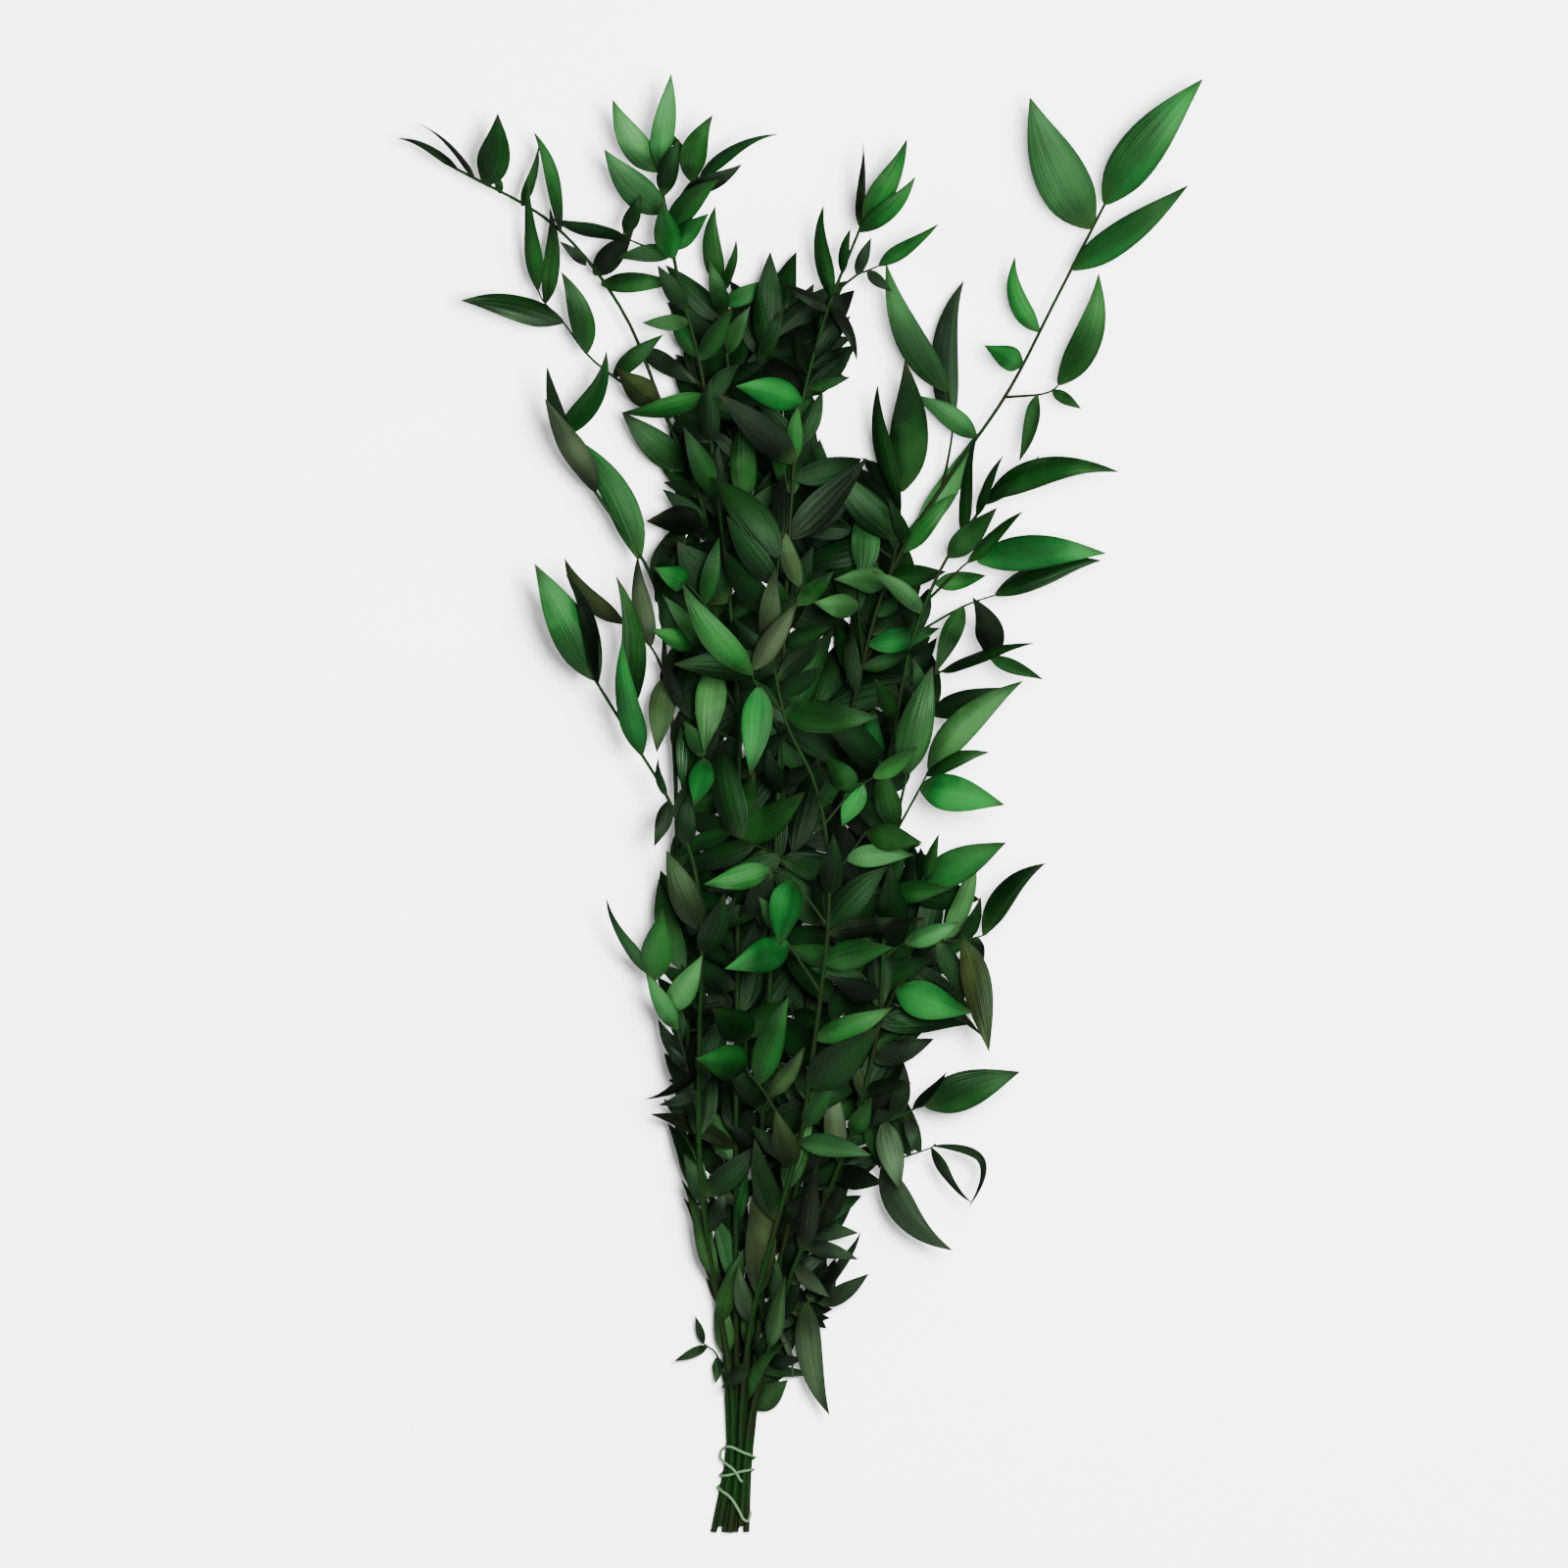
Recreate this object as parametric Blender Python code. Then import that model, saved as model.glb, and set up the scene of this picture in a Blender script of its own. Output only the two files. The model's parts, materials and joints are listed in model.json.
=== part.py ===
"""Tied bunch of preserved ruscus stems, lying on its side.

Ten leafy stems and the string that holds them. The layout is worked out in millimetres, seen from
above: x to the right, y from the cut ends to the leaf tips, z up from the surface. The meshes are
made in metres, with the origin under the middle of the bunch.
"""
import math
import random

import bmesh
import bpy
from mathutils import Matrix, Vector
from mathutils.bvhtree import BVHTree

MM = 0.001
CENTRE_X = 6.0
CENTRE_Y = -1.1
UP = Vector((0.0, 0.0, 1.0))

# Stems
STEM_RADIUS = 1.6
STEM_TIP_RADIUS = 0.75
STEM_SEGMENTS = 13
SPRAY_RADIUS = 0.95
SPRAY_TIP_RADIUS = 0.5

# Bundle at the string: ten stems in rows of three, four and three
STEM_PITCH = 3.5
ROW_PITCH = STEM_PITCH * math.sqrt(3.0) / 2.0
BUNDLE_HEIGHT = 6.5
CUT_HEIGHT = 5.0
BUNDLE_AXIS = ((-28.0, -352.0), (-26.0, -337.0), (-24.4, -322.0), (-23.0, -308.0), (-22.0, -298.0))
CUT_SPLAY = 1.5
CUT_STEP = 3.0
ROW_SPREAD = 1.6
ROW_RISE = 2.2

# Leaves
BLADE_THICK = 0.7
LONG_ROWS = ((0.0, 0.0), (0.14, 0.66), (0.40, 1.0), (0.72, 0.62), (1.0, 0.0))
SHORT_ROWS = ((0.0, 0.0), (0.24, 0.94), (0.62, 0.82), (1.0, 0.0))
LONG_LEAF = 40.0
SINK = 1.5
CLEARANCE = 0.45
ROOT_ZONE = 6.0

# String
STRING_RADIUS = 0.65
STRING_GAP = 0.3
STRING_POINTS = 46

# Left and right edge of the closed body of leaves, seen from above
BODY_EDGE = (
    (-300, -27, -12), (-280, -30, 0), (-250, -34, 18), (-230, -38, 22), (-200, -43, 27),
    (-150, -58, 58), (-110, -60, 60), (-104, -60, 95), (-50, -62, 92), (-40, -62, 88),
    (-15, -52, 56), (0, -50, 50), (20, -50, 58), (50, -54, 72), (100, -60, 66), (165, -58, 46),
    (172, -57, 14), (198, -52, 12), (204, -50, 30), (250, -60, 30), (300, -64, -30),
    (320, -64, -40),
)

# Each stem: place in the bundle (step across, row), route above the string, leaves on the stem
# and sprays. A leaf is its base, its tip, the width that shows from above, its tone and, where it
# bends sideways, how much: plus to its right, minus to its left. The tones are mid, bright, pale, dark, black
# (K), olive and grey green. A spray is its root on the stem, its rise and its leaves, whose bases
# it passes in turn.
STEM_PLANS = {
    "stem_01": {
        "place": (-1.0, -1),
        "route": ((-26, -250, 14), (-30, -150, 20), (-32, -50, 25), (-33, 50, 29),
                  (-40, 140, 33), (-60, 190, 35), (-72, 220, 36), (-86, 250, 38), (-103, 274, 40),
                  (-130, 286, 42), (-160, 306, 45)),
        "leaves": (
            (-160, 306, -187, 320, 4, "K"), (-151, 300, -177, 327, 3, "K"),
            (-147, 297, -139, 331, 16, "D", 0.06), (-129, 286, -120, 316, 5, "D"),
            (-107, 277, -122, 323, 6, "M", 0.08), (-94, 262, -110, 271, 5, "K"),
            (-90, 258, -74, 276, 12, "K"), (-87, 253, -53, 251, 10, "M"),
            (-73, 219, -42, 202, 9, "K"), (-62, 194, -82, 209, 14, "O"),
            (-39, 135, -68, 136, 14, "K"), (-140, 291, -141, 304, 4, "D"),
            (-47, 162, -80, 189, 15, "D"),
        ),
        "sprays": (
            ((-60, 190), 10, ((-84, 206, -60, 226, 9, "D"), (-97, 217, -109, 256, 12, "M", 0.07),
                              (-108, 232, -157, 242, 13, "D"), (-117, 241, -115, 288, 8, "M"),
                              (-121, 249, -125, 300, 8, "M"))),
        ),
    },
    "stem_02": {
        "place": (-0.5, 0),
        "route": ((-25, -250, 19), (-25, -150, 38), (-24, -50, 50), (-24, 50, 56),
                  (-34, 150, 58), (-46, 235, 57), (-57, 264, 56), (-62, 290, 56), (-62, 306, 57)),
        "leaves": (
            (-62, 306, -56, 350, 11, "P"), (-62, 304, -84, 338, 14, "P", -0.08),
            (-61, 284, -88, 314, 16, "P", -0.07), (-57, 266, -38, 283, 10, "M"),
            (-59, 276, -33, 300, 12, "M"), (-56, 262, -60, 289, 13, "B"),
            (-46, 232, -70, 231, 8, "D"), (-42, 196, -80, 188, 10, "M"),
            (-27, 98, -53, 126, 22, "D"), (-24, -17, 8, 6, 16, "M"),
            (-25, -12, -16, 16, 12, "D"), (-25, -165, -66, -149, 8, "O"),
            (-25, -172, -46, -143, 13, "P"), (-25, -202, -21, -175, 6, "B"),
            (-25, -232, -38, -196, 9, "P"), (-25, -192, -37, -183, 6, "G"),
            (-61, 292, -52, 319, 10, "D"), (-57, 264, -82, 262, 9, "D"),
        ),
        "sprays": (
            ((-57, 262), 4, ((-76, 271, -113, 281, 6, "D"), (-79, 275, -70, 292, 8, "D"))),
            ((-61, 280), 3, ((-50, 294, -22, 307, 8, "K"), (-46, 299, -36, 330, 13, "M", -0.09),
                             (-43, 300, -56, 323, 6, "D"), (-41, 302, -5, 321, 7, "M", -0.10))),
            ((-24, 74), 14, ((-40, 96, -33, 128, 9, "M"), (-49, 107, -64, 113, 12, "B"))),
            ((-24, 44), 10, ((-35, 66, -40, 25, 15, "P"), (-37, 73, -60, 100, 8, "D"),
                             (-45, 76, -66, 84, 10, "M"))),
            ((-24, 30), 4, ((-47, 42, -50, 3, 10, "D"), (-50, 44, -60, 77, 6, "K"))),
            ((-24, 8), 12, ((-40, 22, -45, -1, 12, "B"), (-42, 24, -50, 40, 9, "M"))),
        ),
    },
    "stem_03": {
        "place": (0.0, -1),
        "route": ((-18, -250, 13), (-12, -150, 17), (-8, -50, 19), (-8, 50, 22), (-20, 150, 26),
                  (-32, 232, 30), (-33, 252, 31)),
        "leaves": (
            (-33, 252, -35, 288, 10, "D"), (-33, 246, -25, 272, 5, "D"),
            (-31, 235, -38, 262, 9, "D"), (-32, 241, -5, 253, 9, "B"),
            (-29, 217, -18, 240, 9, "P"), (-19, 146, -20, 190, 13, "M"),
            (-23, 165, -40, 182, 7, "K"),
        ),
        "sprays": (
            ((-26, 195), 8, ((-14, 214, -3, 238, 8, "D"), (-10, 220, -14, 250, 8, "M"))),
        ),
    },
    "stem_04": {
        "place": (0.5, 0),
        "route": ((-19, -250, 19), (-12, -150, 40), (-7, -50, 54), (-3, 50, 61), (2, 150, 62),
                  (8, 200, 60), (20, 240, 58), (36, 280, 57)),
        "leaves": (
            (36, 280, 57, 319, 12, "M"), (35, 277, 36, 317, 5, "K"),
            (34, 275, 61, 301, 9, "M"), (21, 243, 17, 287, 8, "M"),
            (20, 240, 33, 213, 6, "K"), (19, 237, -5, 250, 6, "K"),
            (8, 200, 30, 205, 6, "D"), (7, 192, -25, 200, 15, "B"),
            (4, 166, 5, 192, 8, "M"), (26, 255, 30, 276, 5, "D"),
            (-19, -262, -22, -234, 7, "M"), (-20, -288, -1, -259, 9, "M"),
        ),
        "sprays": (
            ((22, 246), 3, ((33, 254, 40, 272, 6, "K"), (38, 256, 50, 246, 6, "K"),
                            (45, 259, 72, 278, 7, "M"))),
            ((-2, 75), 6, ((4, 96, 22, 112, 9, "D"), (6, 106, -3, 134, 9, "O"))),
        ),
    },
    "stem_05": {
        "place": (1.0, -1),
        "route": ((-14, -250, 14), (2, -150, 20), (16, -50, 25), (30, 40, 29), (45, 100, 34),
                  (60, 130, 37), (91, 178, 41), (108, 202, 43), (118, 225, 45), (137, 257, 47),
                  (145, 277, 48), (153, 290, 49)),
        "leaves": (
            (153, 290, 199, 348, 22, "B"), (145, 278, 116, 339, 26, "P", -0.05),
            (137, 257, 192, 297, 18, "B"), (116, 230, 109, 263, 10, "B", -0.14),
            (113, 212, 94, 220, 12, "B"), (90, 177, 60, 197, 11, "P"), (56, 121, 82, 150, 10, "M"),
            (50, 109, 76, 112, 11, "D"),
            (62, 132, 90, 178, 12, "P"), (48, 106, 22, 108, 13, "P"),
            (39, 77, 73, 85, 12, "B"), (33, 54, 31, 88, 8, "K"),
            (-8, -212, 14, -190, 13, "K"), (-5, -194, 6, -166, 12, "O"),
        ),
        "sprays": (
            ((104, 196), 5, ((120, 197, 111, 165, 7, "D"), (127, 199, 141, 190, 6, "D"),
                             (131, 203, 149, 255, 15, "M", 0.10))),
            ((74, 153), 10, ((79, 180, 85, 253, 13, "G", -0.06), (77, 200, 47, 260, 16, "M", -0.08))),
            ((47, 104), 8, ((53, 128, 19, 164, 16, "D"), (54, 142, 43, 201, 8, "D"),
                            (54, 152, 56, 213, 19, "D", 0.05))),
            ((36, 68), 14, ((34, 96, 12, 97, 12, "P"), (36, 112, 35, 150, 14, "P"))),
        ),
    },
    "stem_06": {
        "place": (1.5, 0),
        "route": ((-10, -250, 20), (12, -150, 40), (34, -50, 53), (48, 20, 60), (60, 80, 64),
                  (76, 118, 66), (97, 148, 67)),
        "leaves": (
            (97, 148, 158, 159, 14, "D", -0.10), (94, 144, 120, 167, 5, "D"),
            (90, 139, 103, 167, 5, "D"), (83, 129, 91, 178, 6, "D"),
            (76, 119, 100, 142, 12, "D"), (70, 106, 95, 110, 9, "M"),
            (64, 92, 40, 112, 9, "P"), (-17, -292, 0, -278, 12, "D"),
            (-13, -274, 12, -276, 5, "D"), (0, -203, 20, -184, 13, "K"),
            (6, -176, 24, -158, 12, "K"),
        ),
        "sprays": (
            ((68, 99), 6, ((86, 116, 112, 140, 6, "M"), (92, 117, 152, 120, 17, "B"))),
            ((61, 82), -4, ((84, 95, 70, 62, 10, "M"), (101, 101, 150, 117, 12, "D", -0.06))),
            ((55, 56), 5, ((74, 64, 117, 77, 6, "D"), (96, 71, 88, 99, 14, "K", 0.10),
                           (98, 70, 122, 60, 7, "M"))),
            ((50, 30), 4, ((66, 42, 60, 70, 9, "M"), (70, 44, 104, 56, 12, "D"))),
        ),
    },
    "stem_07": {
        "place": (1.0, 1),
        "route": ((-11, -270, 19), (2, -225, 34), (22, -180, 50), (36, -140, 62), (44, -100, 71),
                  (46, -60, 77), (50, -20, 81), (57, 16, 84)),
        "leaves": (
            (57, 16, 69, 66, 17, "P"), (40, -122, 70, -112, 12, "K"),
            (30, -158, 40, -140, 10, "M"), (36, -140, 29, -118, 6, "O"),
            (3, -222, 20, -237, 8, "G"), (-8, -262, -1, -227, 9, "P"),
            (-7, -250, 2, -277, 9, "G"), (47, -44, 78, -40, 11, "M"),
            (-5, -245, -10, -210, 9, "M"), (6, -215, 14, -172, 11, "K"),
            (12, -205, 30, -178, 10, "K"), (24, -177, 46, -181, 12, "K"),
            (-1, -230, 22, -212, 10, "K"), (26, -172, 22, -132, 11, "G"),
            (8, -206, 34, -206, 9, "K"), (6, -212, 34, -219, 8, "K"),
        ),
        "sprays": (
            ((50, -14), 6, ((63, 8, 103, 0, 18, "B"), (66, 14, 96, 25, 8, "D"),
                            (68, 18, 112, 59, 15, "P", -0.07))),
            ((47, -50), 8, ((64, -38, 104, -18, 17, "M"), (66, -36, 72, -14, 6, "D"))),
            ((45, -74), 2, ((56, -66, 82, -56, 10, "P"), (75, -65, 89, -24, 10, "P"),
                            (84, -65, 96, -118, 14, "O"), (95, -62, 123, -28, 11, "D", -0.12))),
            ((43, -108), 4, ((52, -88, 88, -99, 18, "B"), (55, -84, 92, -110, 7, "D"))),
            ((33, -152), 3, ((46, -152, 54, -185, 13, "G"), (57, -148, 60, -167, 6, "K"),
                             (60, -146, 76, -128, 5, "K"), (67, -144, 111, -128, 19, "M"))),
            ((24, -175), -6, ((46, -172, 79, -214, 14, "G", 0.12), (69, -165, 88, -191, 5, "K"),
                              (71, -163, 87, -193, 4, "K", -0.52))),
            ((-4, -246), 2, ((9, -240, 20, -294, 13, "G"), (14, -240, 35, -206, 6, "K"),
                             (17, -242, 39, -226, 9, "K"))),
        ),
    },
    "stem_08": {
        "place": (-1.0, 1),
        "route": ((-30, -262, 20), (-40, -200, 42), (-43, -150, 55), (-42, -100, 66),
                  (-42, -45, 75), (-50, -14, 78), (-60, 8, 80), (-69, 22, 80), (-83, 45, 78),
                  (-93, 61, 77)),
        "leaves": (
            (-93, 61, -121, 115, 20, "B"), (-91, 58, -106, 110, 7, "K"),
            (-79, 39, -82, 109, 12, "D", 0.07), (-70, 24, -79, 78, 12, "B"),
            (-57, 2, -64, -20, 8, "K"), (-58, 4, -62, 22, 4, "D"),
            (-42, -60, -58, -22, 15, "O"), (-43, -128, -68, -141, 5, "K"),
            (-43, -138, -62, -144, 6, "K"), (-40, -192, -50, -168, 10, "D"),
            (-36, -228, -51, -181, 9, "P"), (-38, -206, -30, -184, 8, "K"),
            (-41, -185, -58, -154, 10, "D"), (-33, -250, -20, -212, 10, "M"),
        ),
        "sprays": (
            ((-43, -150), 4, ((-48, -128, -60, -112, 5, "K"), (-53, -108, -68, -80, 9, "P"),
                              (-57, -99, -41, -72, 13, "P"), (-64, -84, -60, -50, 15, "M"),
                              (-68, -80, -87, -45, 6, "D"))),
        ),
    },
    "stem_09": {
        "place": (-1.5, 0),
        "route": ((-32, -250, 19), (-45, -150, 34), (-52, -50, 42), (-55, 30, 47), (-63, 100, 52),
                  (-74, 124, 54), (-93, 150, 57), (-105, 165, 59), (-112, 178, 61)),
        "leaves": (
            (-112, 178, -87, 217, 11, "M", 0.12), (-107, 169, -115, 209, 8, "D"),
            (-93, 150, -116, 194, 12, "G"), (-71, 118, -106, 178, 17, "B", 0.09),
            (-58, 62, -63, 25, 13, "O"), (-34, -234, -50, -190, 7, "M"),
            (-40, -190, -54, -150, 11, "M"), (-50, -80, -62, -36, 12, "D"),
            (-29, -266, -34, -236, 10, "M"),
        ),
        "sprays": (
            ((-58, 58), 8, ((-66, 76, -72, 119, 10, "G"), (-80, 88, -107, 118, 9, "O", -0.06))),
            ((-27, -284), -2, ((-34, -267, -35, -280, 5, "D"), (-39, -262, -55, -269, 5, "D"),
                               (-42, -260, -45, -247, 4, "D"))),
        ),
    },
    "stem_10": {
        "place": (0.0, 1),
        "route": ((-20, -262, 22), (-8, -210, 42), (6, -160, 60), (13, -110, 75), (19, -60, 86),
                  (18, -10, 92), (7, 25, 95), (-3, 45, 95), (-8, 74, 92)),
        "leaves": (
            (-8, 74, -6, 113, 11, "O"), (-3, 44, 43, 42, 16, "M"),
            (19, -62, 65, -54, 9, "K"), (17, -76, 50, -68, 14, "M"),
            (13, -112, 50, -97, 12, "M"), (6, -162, 40, -168, 11, "P"),
            (8, -154, 22, -134, 10, "D"), (-15, -236, -15, -176, 15, "O"),
            (-21, -270, -32, -281, 8, "K"), (-17, -250, -24, -222, 9, "G"),
            (-5, -200, -16, -160, 12, "D"), (0, -185, 12, -150, 12, "M"),
            (5, -175, -6, -146, 13, "O"),
        ),
        "sprays": (
            ((-2, 44), 6, ((-14, 56, -18, 14, 15, "B"), (-17, 62, -50, 105, 14, "M"),
                           (-16, 66, 4, 96, 11, "G"))),
            ((18, -10), -2, ((30, 6, 17, 24, 12, "D"), (36, 10, 26, -10, 11, "B"),
                             (42, 14, 62, 28, 9, "M"))),
            ((19, -40), -3, ((28, -26, 60, -24, 11, "P"), (38, -12, 64, -18, 13, "D"))),
            ((19, -58), 2, ((2, -36, -4, -68, 16, "B"), (-10, -30, -40, -38, 12, "M"))),
            ((16, -90), 4, ((0, -66, -30, -78, 16, "B"), (-4, -60, -14, -44, 9, "D"))),
            ((5, -165), 6, ((-10, -140, 8, -116, 9, "O"), (-14, -134, 0, -92, 14, "M"),
                            (-20, -126, -44, -121, 18, "M"), (-20, -112, -36, -97, 18, "D"))),
        ),
    },
}

# Sprays set by rule on the sides that the hand-placed leaves leave open
FILL_SEED = 11
FILL_START = 84.0
FILL_LOW = -285.0
FILL_HIGH = 245.0
LOW_LEAVES = -170.0
FILL_STEPS = 120
FILL_DRAFTS = 40
FILL_TRIES = 12
LEAF_COUNT = 293
FLOOR_SPRAYS = (
    ("stem_05", 20, -22, 48, 8), ("stem_05", 36, 68, 54, 98), ("stem_05", 50, 112, 40, 150),
    ("stem_01", -32, -20, -46, 10), ("stem_01", -33, 56, -50, 84),
)
FLOOR_SPRAY_HEIGHT = 2.0
CELL = 6.0

STEM_COLOURS = (
    (0.020, 0.110, 0.016), (0.026, 0.125, 0.022), (0.016, 0.085, 0.014), (0.022, 0.100, 0.020),
    (0.012, 0.090, 0.010), (0.030, 0.115, 0.026), (0.018, 0.120, 0.024), (0.026, 0.095, 0.016),
    (0.020, 0.080, 0.016), (0.034, 0.120, 0.028),
)
STEM_ROUGHNESS = 0.5
STRING_COLOUR = (0.17, 0.36, 0.15)
STRING_ROUGHNESS = 0.55


# Lines and places along them

def smooth_line(points, count):
    """Points evenly spaced on a smooth curve through the given ones."""
    ends = [points[0] * 2.0 - points[1]] + list(points) + [points[-1] * 2.0 - points[-2]]
    dense = []
    for i in range(1, len(ends) - 2):
        p0, p1, p2, p3 = ends[i - 1], ends[i], ends[i + 1], ends[i + 2]
        for step in range(12):
            t = step / 12.0
            dense.append(0.5 * (2.0 * p1 + (p2 - p0) * t + (2.0 * p0 - 5.0 * p1 + 4.0 * p2 - p3) * t * t
                                + (3.0 * p1 - p0 - 3.0 * p2 + p3) * t * t * t))
    dense.append(ends[-2].copy())
    total = line_length(dense)
    return [line_at(dense, total * i / (count - 1))[0] for i in range(count)]


def line_length(points):
    return sum((b - a).length for a, b in zip(points, points[1:]))


def line_at(points, distance):
    """Point and direction at a distance along a line of straight pieces."""
    for a, b in zip(points, points[1:]):
        piece = (b - a).length
        if distance <= piece or b is points[-1]:
            direction = (b - a).normalized()
            return a + direction * min(distance, piece), direction
        distance -= piece


def nearest_on_line(points, x, y):
    """Point on a line that lies nearest to x, y as seen from above, a little short of its end."""
    best = None
    for a, b in zip(points, points[1:]):
        run = Vector((b.x - a.x, b.y - a.y))
        along = (Vector((x - a.x, y - a.y)).dot(run)) / max(run.length_squared, 1e-9)
        along = min(1.0, max(0.0, along))
        point = a.lerp(b, along)
        distance = math.hypot(point.x - x, point.y - y)
        if best is None or distance < best[0]:
            best = (distance, point)
    end = points[-1]
    if (best[1] - end).length < SINK:
        return end + (points[-2] - end).normalized() * SINK
    return best[1]


def body_edge(y):
    rows = BODY_EDGE
    if y < rows[0][0] or y > rows[-1][0]:
        return 0.0, 0.0
    for (y0, l0, r0), (y1, l1, r1) in zip(rows, rows[1:]):
        if y <= y1:
            f = (y - y0) / (y1 - y0)
            return l0 + (l1 - l0) * f, r0 + (r1 - r0) * f


# Leaf blades

class Blade:
    """One leaf: a thin pointed plate, bent along an arc and turned about it."""

    def __init__(self, base, tip, width, roll, bow, sway, twist, tone, filler=False, lying=False):
        self.base = base
        self.tip = tip
        self.width = width
        self.roll = roll
        self.bow = bow
        self.sway = sway
        self.twist = twist
        self.tone = tone
        self.lying = lying
        self.is_long = lying or (not filler and self.length() > LONG_LEAF)

    def length(self):
        return (self.tip - self.base).length

    def centre(self, t):
        chord = self.tip - self.base
        axis = chord.normalized()
        level = UP - axis * UP.dot(axis)
        level = level.normalized() if level.length > 1e-3 else Vector((1.0, 0.0, 0.0))
        swell = 4.0 * t * (1.0 - t) * chord.length
        if self.lying:
            flat = Vector((axis.x, axis.y, 0.0)).normalized()
            side = Vector((flat.y, -flat.x, 0.0))
            point = self.base.lerp(self.tip, t) + side * self.sway * swell
            drop = max(0.0, 1.0 - t / 0.4)
            point.z = self.tip.z + (self.base.z - self.tip.z) * drop * drop
            return point
        normal = Matrix.Rotation(self.roll, 3, axis) @ level
        side = axis.cross(normal)
        return self.base + chord * t + normal * self.bow * swell + side * self.sway * swell

    def frame(self, t):
        step = 0.04
        run = (self.centre(min(1.0, t + step)) - self.centre(max(0.0, t - step))).normalized()
        level = UP - run * UP.dot(run)
        level = level.normalized() if level.length > 1e-3 else Vector((1.0, 0.0, 0.0))
        turn = 0.0 if self.lying else self.roll + self.twist * (t - 0.3)
        normal = Matrix.Rotation(turn, 3, run) @ level
        return run, run.cross(normal), normal

    def place(self, across, t, lift, half_width):
        run, side, normal = self.frame(t)
        return self.centre(t) + side * across * half_width + normal * lift

    def shape(self, plates, extra=0.0):
        """A plate, bent to this leaf, with extra millimetres on every side."""
        shaped = plates[0 if self.is_long else 1].copy()
        for vert in shaped.verts:
            across, t, lift = vert.co
            vert.co = self.place(across, t, lift * (BLADE_THICK / 2.0 + extra),
                                 self.width / 2.0 + extra)
        return shaped


def flat_plate(outline):
    """A leaf outline as a unit plate: x across, y from base to tip, z plus and minus one."""
    plate = bmesh.new()
    rows = len(outline)
    bmesh.ops.create_grid(plate, x_segments=1, y_segments=rows - 1, size=1.0)
    for vert in plate.verts:
        t, half = outline[round((vert.co.y + 1.0) / 2.0 * (rows - 1))]
        vert.co = Vector((math.copysign(half, vert.co.x), t, 0.0))
    bmesh.ops.remove_doubles(plate, verts=plate.verts, dist=1e-4)
    bmesh.ops.dissolve_degenerate(plate, dist=1e-5, edges=plate.edges)
    bmesh.ops.triangulate(plate, faces=plate.faces)
    bmesh.ops.solidify(plate, geom=plate.faces[:], thickness=2.0)
    middle = sum(vert.co.z for vert in plate.verts) / len(plate.verts)
    bmesh.ops.translate(plate, verts=plate.verts, vec=(0.0, 0.0, -middle))
    face_outward(plate)
    return plate


def face_outward(shape):
    """Turns a closed shape whose faces all point inwards the right way round."""
    if shape.calc_volume(signed=True) < 0.0:
        bmesh.ops.reverse_faces(shape, faces=shape.faces)


# Keeping pieces clear of each other

class Space:
    """What is placed so far, so that the next piece can stay clear of it."""

    def __init__(self):
        self.items = []

    def add(self, node, anchor, tree, box):
        self.items.append((node, anchor, tree, box))

    def is_clear(self, node, anchor, tree, box, carrier=None):
        for other_node, other_anchor, other_tree, other_box in self.items:
            if other_tree is carrier or boxes_apart(box, other_box):
                continue
            if other_node == node and (other_anchor - anchor).length < ROOT_ZONE:
                continue
            if tree.overlap(other_tree):
                return False
        return True


def box_of(points):
    xs, ys, zs = zip(*((p.x, p.y, p.z) for p in points))
    return min(xs), min(ys), min(zs), max(xs), max(ys), max(zs)


def boxes_apart(a, b):
    return (a[0] > b[3] or b[0] > a[3] or a[1] > b[4] or b[1] > a[4]
            or a[2] > b[5] or b[2] > a[5])


def tube_shell(points, radius, tip_radius, extra):
    """A square tube round a line, as a search tree and its box."""
    corners = []
    last = len(points) - 1
    for i, point in enumerate(points):
        run = (points[min(i + 1, last)] - points[max(i - 1, 0)]).normalized()
        side = run.cross(UP).normalized()
        normal = side.cross(run)
        reach = radius + (tip_radius - radius) * i / last + extra
        for a, b in ((1, 1), (-1, 1), (-1, -1), (1, -1)):
            corners.append(point + (side * a + normal * b) * reach * 0.75)
    faces = []
    for i in range(last):
        for k in range(4):
            j = (k + 1) % 4
            faces.append((4 * i + k, 4 * i + j, 4 * i + 4 + j, 4 * i + 4 + k))
    return BVHTree.FromPolygons(corners, faces), box_of(corners)


# Layout

def bundle_route(plan):
    """Points from the cut end to just above the string, in this stem's place in the bundle."""
    across, row = plan["place"]
    points = []
    last = len(BUNDLE_AXIS) - 1
    for i, (x, y) in enumerate(BUNDLE_AXIS):
        spread = 1.0 + (CUT_SPLAY - 1.0) * max(0.0, 1.0 - i / 2.0)
        height = CUT_HEIGHT + (BUNDLE_HEIGHT - CUT_HEIGHT) * min(1.0, i / 2.0)
        if i == 0:
            y += CUT_STEP * abs(across * row)
        rise = row * ROW_PITCH
        if i == last:
            rise = rise * ROW_SPREAD + ROW_RISE
        points.append(Vector((x + across * STEM_PITCH * spread, y, height + rise)))
    return points


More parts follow.
